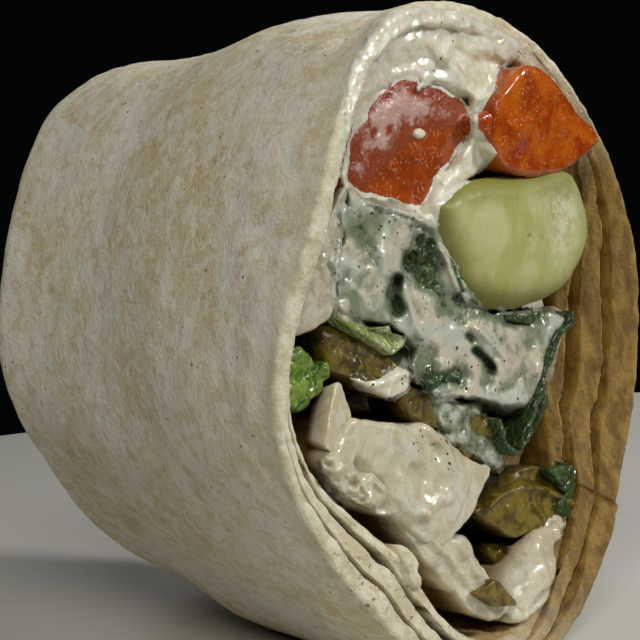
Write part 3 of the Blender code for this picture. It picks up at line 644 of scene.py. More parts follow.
def spaced(line, spacing, least, more=0):
    """Even places along a line: how far along it they are, and where."""
    far = np.concatenate([[0], np.cumsum(np.hypot(*np.diff(line, axis=0).T))])
    even = np.linspace(0, far[-1], max(int(far[-1] / spacing), least) + more)
    return even, np.stack([np.interp(even, far, line[:, k]) for k in (0, 1)], 1)


def smooth_loop(points, spacing):
    """Even points round a closed smooth curve through the given ones."""
    n = len(points)
    fine = []
    for i in range(n):
        a, b, c, d = (points[(i + m) % n] for m in (-1, 0, 1, 2))
        fine += [curve(a, b, c, d, k / 12.0) for k in range(12)]
    return spaced(np.array(fine + fine[:1]), spacing, 24, 1)[1][:-1]


def slab(name, outline, y, back, crown=0.3, corner=0.5, slope=(0.0, 0.0), hub=None, taper=0.85, ragged=0.0, seed=1,
         spacing=0.36, lumps=(), fine=0.0, dish=None):
    """A cut piece whose face is what the view shows inside an outline in its pixels, run back into the roll.

    crown swells the middle, corner rounds the edge, slope tips the face in x and z, lumps are (size, height) of
    noise, and dish(x, z) is how much deeper single places lie."""
    loop = smooth_loop(on_plane(outline, y), spacing)
    n = len(loop)
    hub = on_plane([hub], y)[0] if hub else loop.mean(axis=0)
    away = loop - hub
    reach = np.hypot(*away.T)
    if ragged:
        q = np.stack([loop[:, 0], loop[:, 1], 0 * reach], 1)
        away = away * (1 + ragged * fractal(q, 2.2, seed + 31) / reach)[:, None]
        reach = np.hypot(*away.T)
    rings, front, insets = [], [], []
    count = max(int(reach.mean() / spacing), 6)
    for u in np.linspace(0, 1, count + 4)[1:]:
        k = 1 - (1 - u) ** 1.5
        inset = (1 - k) * reach
        x, z = (hub + away * k).T
        r = np.clip(1 - inset / corner, 0, 1)
        deep = y - crown * (1 - k * k) + corner * (1 - np.sqrt(1 - r * r))
        deep = deep + slope[0] * (x - hub[0]) + slope[1] * (z - hub[1])
        if dish:
            deep = deep + dish(x, z)
        rings.append(np.stack([x, deep, z], 1))
        insets.append(inset)
        front.append(np.ones(n) * (1 - 0.5 * (u == 1)))
    first = rings[-1][:, 1]
    for u in np.linspace(0, 1, max(int((back - y) / 1.2), 4))[1:]:
        k = 1 - (1 - taper) * u
        deep = first + (back - first) * u
        x, z = (hub + away * k).T
        rings.append(np.stack([x + run(DRIFT, deep) - run(DRIFT, first), deep, z], 1))
        front.append(np.zeros(n))
    ob = tube(name, rings)
    front = np.concatenate(front + [[1.0, 0.0]])
    p, nrm = coords(ob), normals(ob)
    move = np.zeros(len(p))
    for k, (size, height) in enumerate(lumps):
        move += height * fractal(p, size, seed + 7 * k) * (0.5 + 0.5 * front)
    if fine:
        move += fine * fractal(p, 0.8, seed + 5, 2) * front
    put_coords(ob, kept_in(p + nrm * move[:, None]))
    # Painted shade: marks the surface darker the further it lies behind the cut face, for the pickle and chicken
    # materials.
    paint(ob, "deep", ease((p[:, 1] - y - 0.7) / 2.2))
    inset = np.concatenate([np.concatenate(insets), np.zeros(len(p) - sum(map(len, insets)))])
    paint(ob, "edge", ease(1 - inset / 4.5))
    return ob


def kept_in(p):
    """Points moved inwards where they would come through the tortilla."""
    x, y, z = p.T
    top, bottom, wide = spans(y)
    mid = run(DRIFT, y)
    a, b = (x - mid) / wide, (z - bottom) * TOP_Z / (top - bottom) - MID_Z
    r, deg = np.hypot(a, b), np.degrees(np.arctan2(b, a))
    most = inner_radius(deg, y) + 0.5
    loose = 6.0 * (1 - ease((y - 1.5) / 3.0))
    k = np.minimum(1.0, (most + loose) / np.maximum(r, 1e-6))
    out = p.copy()
    out[:, 0] = mid + a * k * wide
    out[:, 2] = bottom + (MID_Z + b * k) * (top - bottom) / TOP_Z
    return out


def off_line(q, line):
    """Distance of the points q from an open line through the given points."""
    line = pixels(line)
    best = np.full(len(q), 1e9)
    for (ax, ay), (bx, by) in zip(line, line[1:]):
        ex, ey = bx - ax, by - ay
        t = np.clip(((q[:, 0] - ax) * ex + (q[:, 1] - ay) * ey) / (ex * ex + ey * ey), 0, 1)
        best = np.minimum(best, np.hypot(q[:, 0] - ax - t * ex, q[:, 1] - ay - t * ey))
    return best


def folds(y, *lines):
    """Creases of a cut face: (line in the view's pixels, half width in mm, how much deeper it lies)."""
    flat = [(on_plane(line, y), wide, deep) for line, wide, deep in lines]

    def at(x, z):
        q = np.stack([x, z], 1)
        return sum(deep * np.exp(-(off_line(q, line) / wide) ** 2) for line, wide, deep in flat)
    return at


def sink(ob, y, *lines):
    """Presses creases into a piece, like folds."""
    p = coords(ob)
    p[:, 1] += folds(y, *lines)(p[:, 0], p[:, 2]) * ease((20.0 - p[:, 1]) / 10.0)
    put_coords(ob, p)


def blade(name, line, y, back, thick, seed):
    """A thin leaf seen on its edge: the line in the view's pixels, run back into the roll."""
    even, a = spaced(on_plane(line, y), 0.3, 8)
    for _ in range(3):
        a[1:-1] = (a[:-2] + 2 * a[1:-1] + a[2:]) / 4
    d = np.gradient(a, axis=0)
    n = np.stack([-d[:, 1], d[:, 0]], 1) / np.hypot(*d.T)[:, None]
    half = thick / 2 * ease(np.minimum(even, even[-1] - even) / 1.0 + 0.3)
    m, count = len(a), 14
    rings = []
    for k, deep in enumerate(np.concatenate([[y], np.linspace(y + 0.15, back, count)])):
        q = np.stack([a[:, 0], a[:, 1], np.full(m, deep * 0.6)], 1)
        for side in (1, -1):
            e = a + n * (side * half * (0.55 if k == 0 else 1.0))[:, None]
            e = e + n * (0.2 * fractal(q, 2.2, seed))[:, None]
            rings.append(np.stack([e[:, 0], deep + 0.35 * fractal(q, 1.6, seed + 3) * (k < 2), e[:, 1]], 1))
    pts = np.concatenate(rings)

    def quad(*corners):
        return [(2 * r + s) * m + j for r, s, j in corners]

    faces = [quad((r, s, j), (r, s, j + 1), (r + 1, s, j + 1), (r + 1, s, j))
             for r in range(count) for s in (0, 1) for j in range(m - 1)]
    faces += [quad((r, 0, j), (r, 0, j + 1), (r, 1, j + 1), (r, 1, j)) for r in (0, count) for j in range(m - 1)]
    faces += [quad((r, 0, j), (r + 1, 0, j), (r + 1, 1, j), (r, 1, j)) for j in (0, m - 1) for r in range(count)]
    ob = new_object(name, pts, faces)
    outward(ob)
    put_coords(ob, kept_in(coords(ob)))
    return ob


def lumpy(ob, size, height, seed, fine):
    p = coords(ob)
    front = facing(ob)
    move = height * fractal(p, size, seed) * (0.4 + 0.6 * front) + fine * grain(p, 0.7, seed + 5) * front
    put_coords(ob, p + normals(ob) * move[:, None])
    return ob


PEPPER_FACE = (
    "404,79 412,80 430,89 452,100 460,105 467,118 468,126 452,156 436,178 428,198 424,207 416,208 398,203 "
    "370,193 353,187 347,182 346,168 350,145 358,132 368,119 373,105 388,90")
CUCUMBER_FACE = (
    "440,207 444,200 453,193 464,186 476,181 500,177 530,172 556,168 568,169 576,177 583,195 589,216 592,236 "
    "588,258 580,276 570,290 556,300 541,306 524,310 506,309 490,304 477,295 467,284 457,262 447,235")
LEAF_CENTRE = "404,252 414,240 430,230 441,234 452,258 464,286 467,302 460,320 446,312 430,302 412,298 402,280"


def grown(outline, by):
    """The outline with its points moved away from its middle."""
    a = pixels(outline)
    d = a - a.mean(axis=0)
    return a + d / np.hypot(*d.T)[:, None] * by


def make_fillings(mats):
    done = {}

    def put(node, ob, mat, slot):
        add_piece(ob, mats[mat], slot, node)
        done[node] = ob

    def cut(node, mat, slot, *shape, name=None, **more):
        put(node, slab(name or node + "_piece", *shape, **more), mat, slot)

    leaf = (0.3, 3, 2.0, 0.2, 0.0, "dark", "leaf_dark")
    for k, (node, voxel, relax, size, height, fine, mat, slot) in enumerate([
            ("hummus", 0.55, 6, 3.0, 0.35, 0.08, "cream", "hummus"),
            ("hummus_low", 0.4, 6, 2.4, 0.3, 0.08, "cream", "hummus"),
            ("dressed_greens", 0.4, 4, 2.6, 0.45, 0.1, "greens", "dressing"),
            ("leaf_centre", *leaf), ("leaf_under_cucumber", *leaf), ("leaf_right_edge", *leaf), ("leaf_clump", *leaf)]):
        put(node, lumpy(from_node(node, voxel, relax), size, height, 40 + k, fine), mat, slot)

    hollow(done["hummus"], [("360,395", 7, 4.0, 7.0), ("316,432", 5, 3.2, 9.0), ("535,455", 12, 4.0, 5.0),
        ("490,540", 9, 4.0, 8.0), ("505,432", 9, 1.5, 5.0), ("580,562", 6, 2.0, 5.0), ("420,585", 8, 3.0, 6.0),
        ("385,540", 8, 3.0, 6.0), ("460,612", 8, 3.0, 6.0)])
    cut("pepper_left", "red", "pepper", grown(PEPPER_FACE, 6.0), 1.5, 26, 0.1, 0.5, (0.0, -0.06), seed=3,
        lumps=[(5.0, 0.18), (1.6, 0.05)], fine=0.05)
    cut("pepper_right", "orange", "pepper", "494,100 503,86 511,75 520,67 531,66 541,73 553,84 566,97 578,109 591,123 "
        "603,137 602,144 588,155 575,167 560,173 545,175 528,174 511,170 499,158 493,138", -1.4, 24, 0.3, 0.6,
        (0.03, -0.12), seed=4, lumps=[(4.5, 0.22), (1.6, 0.05)], fine=0.03)
    cut("pepper_sliver", "orange", "pepper", "479,118 485,112 492,110 499,113 507,124 509,141 499,145 489,138 482,128",
        -1.2, 9, 0.3, 0.5, seed=5, lumps=[(2.5, 0.15)], fine=0.03)
    cut("cucumber_chunk", "cucumber", "cucumber", CUCUMBER_FACE, -0.6, 32, 0.9, 2.4, (-0.03, -0.08), seed=6,
        lumps=[(7.0, 0.18)], fine=0.015, name="cucumber_piece")
    chunk = done["cucumber_chunk"]
    p = coords(chunk)
    edge = chunk.data.attributes["edge"].data
    old = np.empty(len(p), np.float32)
    edge.foreach_get("value", old)
    # Painted shadow: the face's top band, shaded by the pepper, is marked darker with the edge tone.
    under_pepper = 0.9 * ease((p[:, 2] - p[:, 2].max() + 4.5) / 3.5)
    edge.foreach_set("value", np.maximum(old, under_pepper).astype(np.float32))
    # Painted highlight: marks a paler patch on the right of the face.
    lit = on_plane("556,212", -0.6)[0]
    paint(chunk, "light", np.exp(-((p[:, 0] - lit[0]) / 3.6) ** 2 - ((p[:, 2] - lit[1]) / 5.5) ** 2))
    cut("lettuce_rib", "rib", "leaf_bright", "332,300 342,302 354,310 366,320 380,328 391,325 396,334 409,337 404,347 "
        "393,356 380,348 364,338 350,329 338,317", 1.6, 20, 0.2, 0.5, seed=9, lumps=[(2.0, 0.15)], dish=folds(1.6,
        ("342,306 366,325 384,336 398,342", 0.5, 0.7)))
    cut("olive_slice", "pickle", "pickle", "475,349 483,350 492,362 493,371 484,366 477,358", 3.2, 10, 0.2, 0.3,
        seed=8)
    cut("pickle_left", "pickle", "pickle", "324,326 340,330 356,336 372,344 388,354 402,366 413,374 410,384 402,394 "
        "388,399 374,395 360,386 344,377 329,368", 2.6, 16, 0.3, 0.5, (0.0, 0.1), seed=10,
        lumps=[(2.4, 0.14), (0.9, 0.05)], fine=0.03, dish=folds(2.6, ("338,346 360,356 384,372", 0.5, 0.35),
        ("352,380 372,382 404,372", 0.6, -0.5)))
    cut("pickle_centre", "pickle", "pickle", "400,392 416,388 434,396 452,398 470,402 488,412 502,424 508,438 508,456 "
        "506,474 496,468 482,462 468,458 452,444 438,430 418,426 404,414", 3.0, 18, 0.3, 0.6, (0.0, -0.1), seed=11,
        taper=0.4, lumps=[(1.8, 0.35), (0.9, 0.10)], fine=0.05)
    cut("pickle_right", "yellow", "pickle", "478,513 490,504 500,492 512,482 524,472 540,466 551,474 560,490 567,505 "
        "558,519 543,529 526,534 511,539 499,530", 4.6, 18, 0.3, 0.5, (-0.04, 0.18), seed=12,
        lumps=[(2.6, 0.2), (1.0, 0.07)], fine=0.03, dish=folds(4.6,
        ("489,504 506,492 523,486 540,489 564,503", 0.6, -0.9), ("500,486 524,476 548,478", 0.9, 0.7)))
    cut("pickle_deep", "yellow", "pickle", "494,548 512,541 532,539 548,548 552,558 540,572 520,578 504,572", 6.0, 16,
        0.2, 0.5, (0.0, 0.3), seed=13, lumps=[(2.4, 0.2)], fine=0.03)
    cut("pickle_wedge", "yellow", "pickle", "477,594 487,587 497,580 507,590 517,604 508,606 495,607 484,600", 0.3, 7,
        0.1, 0.2, seed=14, lumps=[(1.6, 0.08)], fine=0.02)
    cut("leaf_bright_left", "bright", "leaf_bright", "288,353 300,350 312,352 319,366 328,362 328,376 320,394 310,408 "
        "298,411 288,399 285,378", 2.4, 8, 0.2, 0.4, seed=15, lumps=[(1.6, 0.35), (0.8, 0.08)], ragged=0.3,
        name="leaf_bright_piece")
    cut("leaf_low_right", "dark", "leaf_dark", "552,470 564,466 577,467 577,492 576,519 564,518 558,505 566,496 "
        "556,480", 3.4, 12, 0.2, 0.3, seed=16, lumps=[(2.0, 0.2)], fine=0.02, name="leaf_low_piece")
    cut("chicken_left", "meat_grey", "chicken", "350,186 352,204 347,226 345,246 342,270 338,294 332,318 322,328 "
        "306,334 290,338 276,336 280,318 296,284 316,248 334,212", 0.8, 26, 0.2, 0.6, (0.12, 0.0), seed=18,
        lumps=[(3.0, 0.22), (1.2, 0.08)], fine=0.04)
    cut("chicken_wedge", "meat", "chicken", "338,384 346,386 350,400 354,414 356,430 358,448 346,455 332,454 322,446 "
        "325,430 329,412 334,396", 0.9, 3.4, 0.0, 0.12, (0.16, 0.05), seed=19, lumps=[(3.0, 0.15), (1.0, 0.1)],
        fine=0.05)
    cut("chicken_main", "meat", "chicken", "336,440 350,418 364,420 386,423 408,426 428,424 444,432 456,446 474,457 "
        "496,466 498,474 490,492 481,510 472,521 465,531 452,542 436,548 414,536 398,524 386,518 374,513 360,502 "
        "346,492 334,478 328,460", 0.8, 36, 0.3, 0.7, (0.05, 0.04), hub=(410, 480), seed=20,
        lumps=[(5.0, 0.25), (1.8, 0.08)], fine=0.03, ragged=0.2, dish=folds(0.8,
        ("357,464 368,479 380,491 381,506", 0.7, 1.1), ("398,478 395,496 404,509 420,512", 0.9, -0.6),
        ("420,514 440,500 453,497 457,510", 0.55, -0.4), ("390,424 400,440 420,455 441,470", 1.0, -0.35),
        ("430,430 446,448 453,470", 0.7, -0.45), ("412,470 426,480 424,492", 0.7, 0.4),
        ("470,474 464,496 452,518", 0.6, -0.3), ("440,448 434,462 440,484", 0.6, 0.35)))
    cut("chicken_low", "meat", "chicken", "392,518 410,524 430,534 452,538 466,534 478,556 491,573 499,586 508,600 "
        "510,612 498,622 486,620 470,610 454,594 440,582 426,564 408,540", 1.4, 28, 0.3, 0.6, (0.0, -0.05),
        hub=(456, 570), seed=21, lumps=[(3.2, 0.25), (1.3, 0.08)], fine=0.03, ragged=0.2, dish=folds(1.6,
        ("452,540 462,554 472,570 482,584", 0.7, -0.4), ("438,552 450,572 464,588", 0.6, 0.5),
        ("424,536 434,548 446,556 450,566", 0.5, -0.4), ("470,588 480,604 490,616", 0.5, -0.3)))
    for leaf in (
            ("leaf_edge_piece", "577,311 573,325 562,334 552,355 545,384 538,410 531,432 523,450", 0.6, 9, 0.55, 22),
            ("leaf_tip_piece", "500,420 505,436 511,448 518,455", 1.4, 8, 0.6, 23)):
        add_piece(blade(*leaf), mats["dark"], "leaf_dark")
    add_piece(slab("chicken_bit_piece", "544,524 552,515 566,514 574,520 574,536 566,545 552,542 545,534", 3.8, 12,
        0.3, 0.5, seed=27, lumps=[(2.0, 0.25)], fine=0.04), mats["meat"], "chicken")
    # Painted shade for the spread: darker towards the lower right and where it lies deeper behind the cut.
    for node in ("hummus_low", "hummus"):
        q = coords(done[node])
        shade = ease((q[:, 0] - 4.0) / 8.0) * ease((24.0 - q[:, 2]) / 8.0)
        deep = ease((q[:, 1] - 2.5) / 4.0)
        paint(done[node], "brown", np.clip(0.45 * shade + 0.9 * deep * ease((34.0 - q[:, 2]) / 6.0), 0, 0.95))
    sink(done["hummus_low"], 3.0, ("566,548 552,588 520,622", 0.5, 1.0), ("556,546 540,580 516,606", 0.5, 0.8),
        ("574,556 562,600 534,634", 0.5, 1.2), ("548,560 530,590", 0.8, -0.5))
    groove = "362,506 378,522 396,542 412,562 428,584 450,604 484,622"
    for node in ("hummus_low", "hummus"):
        sink(done[node], 2.0, (groove, 1.5, 8.0))
    knob = slab("tortilla_knob_piece", "400,548 407,546 415,551 419,562 418,574 422,585 416,589 409,581 404,570 "
        "400,558", -0.5, 6, 0.2, 0.6, seed=24, lumps=[(2.0, 0.2), (0.9, 0.08)], fine=0.04)
    paint(knob, "rim", np.ones(len(knob.data.vertices)))
    add_piece(knob, mats["tortilla"], "tortilla")
    return done


# ---------------------------------------------------------------- pieces laid on others

def carrier(obs):
    """The surfaces of some pieces, to lay others on."""
    points, faces, start = [], [], 0
    for ob in obs:
        p = coords(ob)
        points.append(p)
        faces += [[start + v for v in f.vertices] for f in ob.data.polygons]
        start += len(p)
    return BVHTree.FromPolygons(np.concatenate(points).tolist(), faces)


def inside(q, outline):
    """Distance of the points q from the outline: above 0 inside it, below 0 outside."""
    a = pixels(outline)
    loop = np.vstack([a, a[:1]])
    within = np.zeros(len(q), bool)
    for (ax, ay), (bx, by) in zip(loop, loop[1:]):
        if ay != by:
            cross = (ay > q[:, 1]) != (by > q[:, 1])
            within ^= cross & (q[:, 0] < (bx - ax) * (q[:, 1] - ay) / (by - ay) + ax)
    return off_line(q, loop) * np.where(within, 1, -1)


def film(name, outline, on, thick, holes=(), lines=(), step=2.5, bridge=10, edge=9.0, seed=1, rough=0.5, size=2.5,
         ragged=3.0, level=None, hole_fade=1.0, even=False):
    """A closed layer of sauce laid over what the view shows inside an outline, thinning out to its edge.

    The outline and the holes in it are in the view's pixels. lines are (line, half width in pixels, height in mm) of
    folds, which let what is under the layer show where they dip. bridge smooths what the layer rests on, so that it
    fills small gaps instead of falling into them, and level is the depth behind the cut that it fills them up to."""
    cam = CAM_AT - SHIFT
    a = pixels(outline)
    xs = np.arange(a[:, 0].min() - 3 * step, a[:, 0].max() + 3 * step, step)
    ys = np.arange(a[:, 1].min() - 3 * step, a[:, 1].max() + 3 * step, step)
    gx, gy = np.meshgrid(xs, ys, indexing="ij")
    q = np.stack([gx.ravel(), gy.ravel()], 1)
    wob = np.stack([q[:, 0], q[:, 1], 0 * q[:, 0]], 1)
    d = inside(q, outline)
    for hole in holes:
        d = np.minimum(d, -inside(q, hole) * hole_fade)
    d = (d + ragged * fractal(wob, 22.0, seed + 60)).reshape(gx.shape)
    rays = sight(gx, gy)
    t = np.full(gx.shape, np.nan)
    for i, j in zip(*np.where(d > -3 * step)):
        hit = on.ray_cast(Vector(cam), Vector(rays[i, j]))
        if hit[0] is not None:
            t[i, j] = hit[3]
    keep = ~np.isnan(t) & (d > -2.2 * step)
    base = np.where(keep, t, 0.0)
    weight = keep.astype(float)
    soft = base.copy()
    for _ in range(bridge):
        total, count = soft * weight, weight.copy()
        for axis in (0, 1):
            for way in (1, -1):
                total = total + np.roll(soft * weight, way, axis)
                count = count + np.roll(weight, way, axis)
        soft = np.where(keep, total / np.maximum(count, 1), 0.0)
    if level is not None:
        soft = np.minimum(soft, (level - cam[1]) / rays[..., 1])
    fade = ease(d / edge)
    base = t * (1 - fade) + np.minimum(soft, t + 2.0) * fade
    where = cam + rays * np.nan_to_num(base)[..., None]
    bumps = fractal(where.reshape(-1, 3), size, seed).reshape(gx.shape)
    full = thick * fade * (1 + rough * bumps)
    for line, wide, high in lines:
        full = full + high * fade * np.exp(-(off_line(q, line).reshape(gx.shape) / wide) ** 2)
    front = np.where(d > 0, np.minimum(base, t) - full, t + 0.12 * -d / step)
    back = np.maximum(np.nan_to_num(np.maximum(base, t)), np.nan_to_num(front)) + 0.5
    index = -np.ones(gx.shape, int)
    index[keep] = np.arange(keep.sum())
    n = int(keep.sum())
    pts = np.concatenate([(cam + rays * np.nan_to_num(front)[..., None])[keep],
                          (cam + rays * np.nan_to_num(back)[..., None])[keep]])
    a, b, c, e = index[:-1, :-1], index[1:, :-1], index[1:, 1:], index[:-1, 1:]
    whole = (a >= 0) & (b >= 0) & (c >= 0) & (e >= 0)
    quads = np.stack([a[whole], b[whole], c[whole], e[whole]], 1)
    sides = {}
    for f in quads.tolist():
        for u, v in zip(f, f[1:] + f[:1]):
            if (v, u) in sides:
                del sides[(v, u)]
            else:
                sides[(u, v)] = True
    faces = np.array(quads.tolist() + (quads[:, ::-1] + n).tolist() + [[v, u, u + n, v + n] for u, v in sides])
    used, places = np.unique(faces, return_inverse=True)
    ob = new_object(name, pts[used], places.reshape(faces.shape))
    outward(ob)
    share = np.where(fade < 0.06, 1.0, full / thick / np.maximum(fade, 0.06)) if even else full / thick
    paint(ob, "cover", np.tile(np.clip(share, 0, 2)[keep], 2)[used])
    return ob


def make_sauces(done, wrap, mats):
    """Spread, dressing and glaze where they run over the cut, each laid on what the view shows under it."""
    def lay(ob, mat, slot):
        return add_piece(ob, mats[mat], slot)

    base = [wrap] + list(done.values())
    ridge = slab("hummus_ridge", "434,186 448,170 462,152 472,136 480,142 490,150 496,160 486,170 470,179 454,189 "
        "442,202 440,220 430,228 424,214 428,200", 1.5, 9, 0.2, 1.0, seed=31, lumps=[(3.0, 0.25), (1.2, 0.06)],
        spacing=0.3)
    lay(ridge, "cream", "hummus")
    on = carrier(base + [ridge])
    leaves = []
    for name, outline, thick, edge, seed, rough, size, ragged in (
            ("leaf_centre_blade", LEAF_CENTRE, 0.6, 5.0, 51, 0.9, 1.3, 3.0),
            ("leaf_under_blade", "498,309 520,312 546,308 542,318 532,328 514,326 502,320", 0.6, 4.0, 52, 0.7, 1.3,
             1.5),
            ("leaf_clump_blade", "424,366 440,358 458,360 467,374 462,390 444,397 424,392 416,380", 0.8, 4.0, 53, 1.0,
             1.1, 2.0)):
        leaves.append(lay(film(name, outline, on, thick, level=1.8, bridge=4, edge=edge, seed=seed, rough=rough,
                               size=size, ragged=ragged, step=2.0), "dark", "leaf_dark"))
    top = grown("345,150 346,110 352,70 366,38 384,20 404,11 430,8 456,14 480,22 500,33 520,44 514,60 500,74 495,88 "
        "486,102 476,114 478,128 488,142 496,152 476,176 458,188 441,204 438,228 425,228 412,218 395,214 370,206 "
        "350,198 343,176", 3.0)
    sliver = "480,118 486,112 494,112 505,120 512,140 500,146 489,138 482,128"
    ob = film("hummus_over_top", top, on, 0.4, level=0.7, hole_fade=0.5, holes=[PEPPER_FACE, sliver],
        lines=[("372,60 392,44 420,40 444,50", 8, 0.6), ("380,92 392,68 420,60 440,70", 6, -0.7),
        ("446,60 462,76 470,96", 6, 0.6), ("486,60 508,76 504,90", 8, -1.2), ("360,96 354,130", 6, 0.3),
        ("400,28 432,24 462,34", 5, 0.3), ("456,50 478,62", 5, -0.5), ("470,120 472,140 462,160", 5, 0.5)], bridge=16,
        edge=7.0, seed=3, rough=0.9, size=1.9, ragged=1.5, step=1.6)
    lay(ob, "cream", "hummus")
    on = carrier(base + [ridge, *leaves, ob])
    greens = ("342,182 372,195 398,203 424,215 440,222 452,250 468,285 492,306 520,312 548,308 572,312 574,322 "
        "564,336 554,356 546,384 540,410 526,416 506,410 486,410 455,402 432,400 410,388 408,350 384,330 345,318 "
        "326,306 328,280 334,240 338,210")
    ob = film("dressing_over_greens", greens, on, 0.7, holes=[grown(CUCUMBER_FACE, -1.0)],
        lines=[("386,238 383,255 384,272", 5, 0.5), ("352,198 372,208 396,216 418,220", 7, 0.6),
        ("474,326 484,334 496,346 506,358 508,368", 4, 0.8), ("496,362 500,374 494,391", 4, 0.6),
        ("443,250 450,270 456,286 466,300", 2.5, 0.5), ("402,280 407,296 413,314 421,336", 3, 0.5),
        ("424,300 432,320 438,340", 7, 0.4), ("456,330 462,352", 6, 0.5), ("346,262 360,270 372,268", 5, 0.5),
        ("350,282 362,296 372,308", 4, 0.3), ("550,330 542,352 536,372", 4, 0.5), ("500,396 520,400 534,396", 4, 0.25),
        ("452,392 476,400 500,404", 4, 0.2), ("456,402 486,411 516,416 540,406", 4, -0.5),
        ("362,226 365,240", 9, -0.7), ("398,280 393,294 398,310", 5, -3.5), ("441,228 450,252 462,290", 3.0, -1.1),
        ("426,240 432,254 424,276 418,264", 12, -0.9), ("430,244 426,262", 5, -0.8), ("412,258 424,284", 8, -0.6),
        ("458,297 464,308 460,322", 4, -1.1), ("436,290 450,312", 8, -0.35),
        ("474,307 494,315 508,320 527,321 540,315", 7, -0.9), ("508,321 528,321", 4, -1.2),
        ("468,336 472,340", 3.5, -1.0), ("476,351 484,358 492,368", 3.5, -2.4), ("516,350 530,341", 8, -0.5),
        ("410,346 424,368", 12, -0.8), ("422,386 440,378 458,376", 9, -0.9), ("430,384 452,376", 4, -1.4),
        ("522,370 512,386", 7, -0.5), ("474,380 486,386", 7, -0.4), ("350,312 380,326", 6, -0.4),
        ("556,332 546,370 538,404", 2.5, -0.6)], level=1.6, even=True, bridge=10, edge=8.0, seed=9, rough=0.7,
        size=2.6, ragged=4.5, step=1.8)
    lay(ob, "sauce", "dressing")
    on = carrier(base)
    glaze = ("344,180 346,143 360,118 370,100 390,84 408,76 430,86 458,100 468,122 448,126 430,128 414,134 400,150 "
        "386,168 380,186 366,192")
    ob = film("glaze_on_pepper", glaze, on, 0.2, bridge=2, edge=22.0, seed=12, rough=0.8, size=1.2, ragged=5.0,
        step=1.6)
    lay(ob, "glaze", "hummus")
    lay(slab("pepper_seed", "417,130 421,128 426,131 426,136 421,139 416,135", 0.9, 3.5, 0.15, 0.3, seed=26,
             spacing=0.2), "cream", "hummus")
    coat = "350,378 366,382 380,380 394,370 404,360 416,370 416,380 406,393 390,401 372,397 358,390"
    ob = film("coat_on_pickle", coat, on, 0.4, bridge=2, edge=6.0, seed=13, rough=0.8, size=1.4, ragged=2.0, step=1.8)
    lay(ob, "cream", "hummus")
    smear = ("440,396 470,398 500,414 504,424 484,420 470,418 476,434 494,446 505,462 500,470 480,462 462,455 446,442 "
        "436,424 430,408")
    flakes = "318,456 332,452 346,456 356,468 372,474 386,488 384,506 372,512 356,510 342,508 330,496 320,478"
    ob = film("chicken_flakes", flakes, on, 1.1, bridge=8, edge=5.0, seed=15, rough=1.3, size=1.5, ragged=3.0,
        step=1.8)
    lay(ob, "meat", "chicken")
    ob = film("coat_on_centre_pickle", smear, on, 0.3, bridge=2, edge=7.0, seed=14, rough=1.0, size=1.4, ragged=5.0,
        step=2.0)
    lay(ob, "sauce", "dressing")
    on = carrier([o for o in bpy.data.objects if o.type == "MESH" and o.name in bpy.context.scene.objects
                  and o.data.materials and o.data.materials[0] in mats.values()])
    chunk = "400,424 440,424 456,450 452,478 430,470 410,446"
    places = [(greens, 90), (smear, 14), (chunk, 14), (top, 10), (coat, 6)]
    lay(flecks("herb_flecks", on, places, 0.13, 71), "dark", "leaf_dark")


def flecks(name, on, places, size, seed):
    """Small flat bits lying on what the view shows: places are (outline in the view's pixels, how many)."""
    pick = np.random.default_rng(seed)
    bm = bmesh.new()
    bmesh.ops.create_icosphere(bm, subdivisions=1, radius=1.0)
    ball = np.array([v.co[:] for v in bm.verts])
    tris = np.array([[v.index for v in f.verts] for f in bm.faces])
    bm.free()
    cam = CAM_AT - SHIFT
    points, faces = [], []
    for outline, count in places:
        a = pixels(outline)
        q = pick.uniform(a.min(axis=0), a.max(axis=0), (count * 6, 2))
        for px, py in q[inside(q, outline) > 3.0][:count]:
            at, normal = on.ray_cast(Vector(cam), Vector(sight(px, py)))[:2]
            if at is None:
                continue
            spin = normal.to_track_quat("Z", "Y").to_matrix() @ Matrix.Rotation(pick.uniform(0, math.tau), 3, "Z")
            k = size * pick.uniform(0.6, 1.3)
            shape = ball * (k * pick.uniform(0.8, 1.8), k, 0.3 * k)
            faces += (tris + sum(map(len, points))).tolist()
            points.append(shape @ np.array(spin).T + np.array(at))
    return new_object(name, np.concatenate(points), faces)


def hollow(ob, spots):
    """Sinks places of a piece, given as (pixel, depth it lies at, radius in mm, how much deeper)."""
    p = coords(ob)
    for pixel, y, wide, deep in spots:
        x, z = on_plane(pixel, y)[0]
        p[:, 1] += deep * np.exp(-((p[:, 0] - x) ** 2 + (p[:, 2] - z) ** 2) / wide ** 2) * ease((20.0 - p[:, 1]) / 10.0)
    put_coords(ob, p)


# ---------------------------------------------------------------- scene

def make_camera():
    """The photograph's view, fitted on the outline of the wrap and of its cut face."""
    c, s = math.cos(CAM_ROLL), math.sin(CAM_ROLL)
    cam = bpy.data.cameras.new("camera")
    cam.sensor_fit = "HORIZONTAL"
    cam.sensor_width = 36.0
    cam.lens = 36.0 * CAM_PIXELS / 640.0
    cam.clip_start = 0.005
    cam.clip_end = 10.0
    ob = link(bpy.data.objects.new("camera", cam))
    at = Matrix((RIGHT * c + UP * s, UP * c - RIGHT * s, BACK)).transposed().to_4x4()
    at.translation = Vector(CAM_AT) * MM
    ob.matrix_world = at
    bpy.context.scene.camera = ob


def area(name, at, target, size, power, colour):
    lamp = bpy.data.lights.new(name, "AREA")
    lamp.shape = "RECTANGLE"
    lamp.size, lamp.size_y = size
    lamp.energy = power
    lamp.color = colour
    ob = link(bpy.data.objects.new(name, lamp))
    ob.location = at
    ob.rotation_euler = (Vector(target) - Vector(at)).to_track_quat("-Z", "Y").to_euler()
    return ob


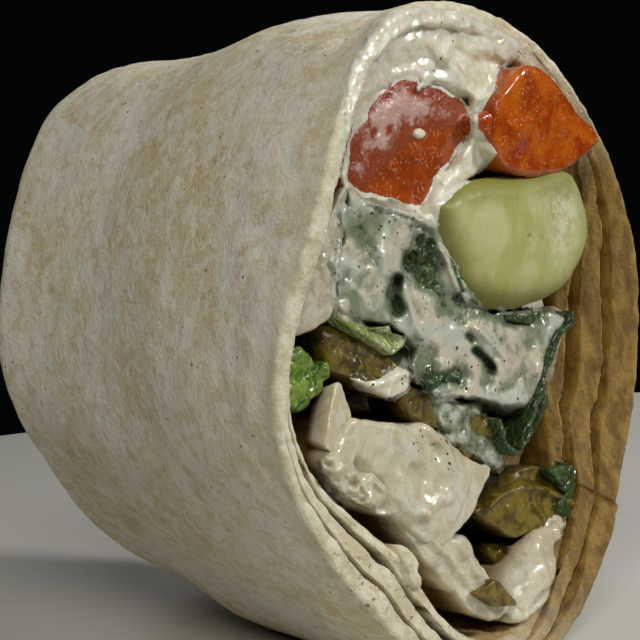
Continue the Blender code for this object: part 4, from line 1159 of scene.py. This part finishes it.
def make_stage():
    """Pale round floor, dark surroundings, a key light from the camera's right and three wide soft ones."""
    sides, radius = 128, 0.19
    bm = bmesh.new()
    bmesh.ops.create_circle(bm, cap_ends=True, segments=sides, radius=radius)
    solid = bmesh.ops.extrude_face_region(bm, geom=list(bm.faces))
    bmesh.ops.translate(bm, verts=[v for v in solid["geom"] if isinstance(v, bmesh.types.BMVert)], vec=(0, 0, -0.004))
    bmesh.ops.recalc_face_normals(bm, faces=bm.faces)
    mesh = bpy.data.meshes.new("floor")
    bm.to_mesh(mesh)
    bm.free()
    floor = link(bpy.data.objects.new("floor", mesh))
    s = Shader("floor", rough=0.45, spec=0.4)
    s.finish(s.mix(s.noise(30.0, 3), (0.62, 0.61, 0.56), (0.68, 0.67, 0.62)), None, s.bump(s.noise(8.0, 2), 0.2, 0.2))
    floor.data.materials.append(s.mat)
    world = bpy.data.worlds.new("dark_room")
    world.use_nodes = True
    world.node_tree.nodes["Background"].inputs["Color"].default_value = (0.9, 0.95, 1.0, 1.0)
    world.node_tree.nodes["Background"].inputs["Strength"].default_value = 0.0015
    bpy.context.scene.world = world
    mid = Vector((0.0, 0.0, 0.035))
    side, up = Vector(RIGHT), Vector((0, 0, 1))
    toward = Vector((BACK[0], BACK[1], 0)).normalized()
    area("key", mid + side * 0.45 + up * 0.26 + toward * 0.08, mid, (0.08, 0.08), 1.55, (1.0, 0.99, 0.97))
    area("fill", mid + side * 0.02 + up * 0.34 + toward * 0.42, mid, (0.26, 0.22), 1.32, (1.0, 0.99, 0.96))
    area("over", mid - side * 0.10 + up * 0.60 - toward * 0.10, mid, (0.40, 0.40), 0.27, (1.0, 0.98, 0.95))
    area("behind", mid + side * 0.05 + up * 0.30 - toward * 0.60, mid, (0.40, 0.40), 0.22, (1.0, 0.98, 0.95))


def main():
    scene = bpy.context.scene
    scene.view_settings.view_transform = "Standard"
    scene.view_settings.look = "None"
    make_camera()
    make_stage()
    wrap = make_tortilla()
    mats = make_materials()
    add_piece(wrap, mats["tortilla"], "tortilla", "tortilla")
    done = make_fillings(mats)
    make_sauces(done, wrap, mats)


main()
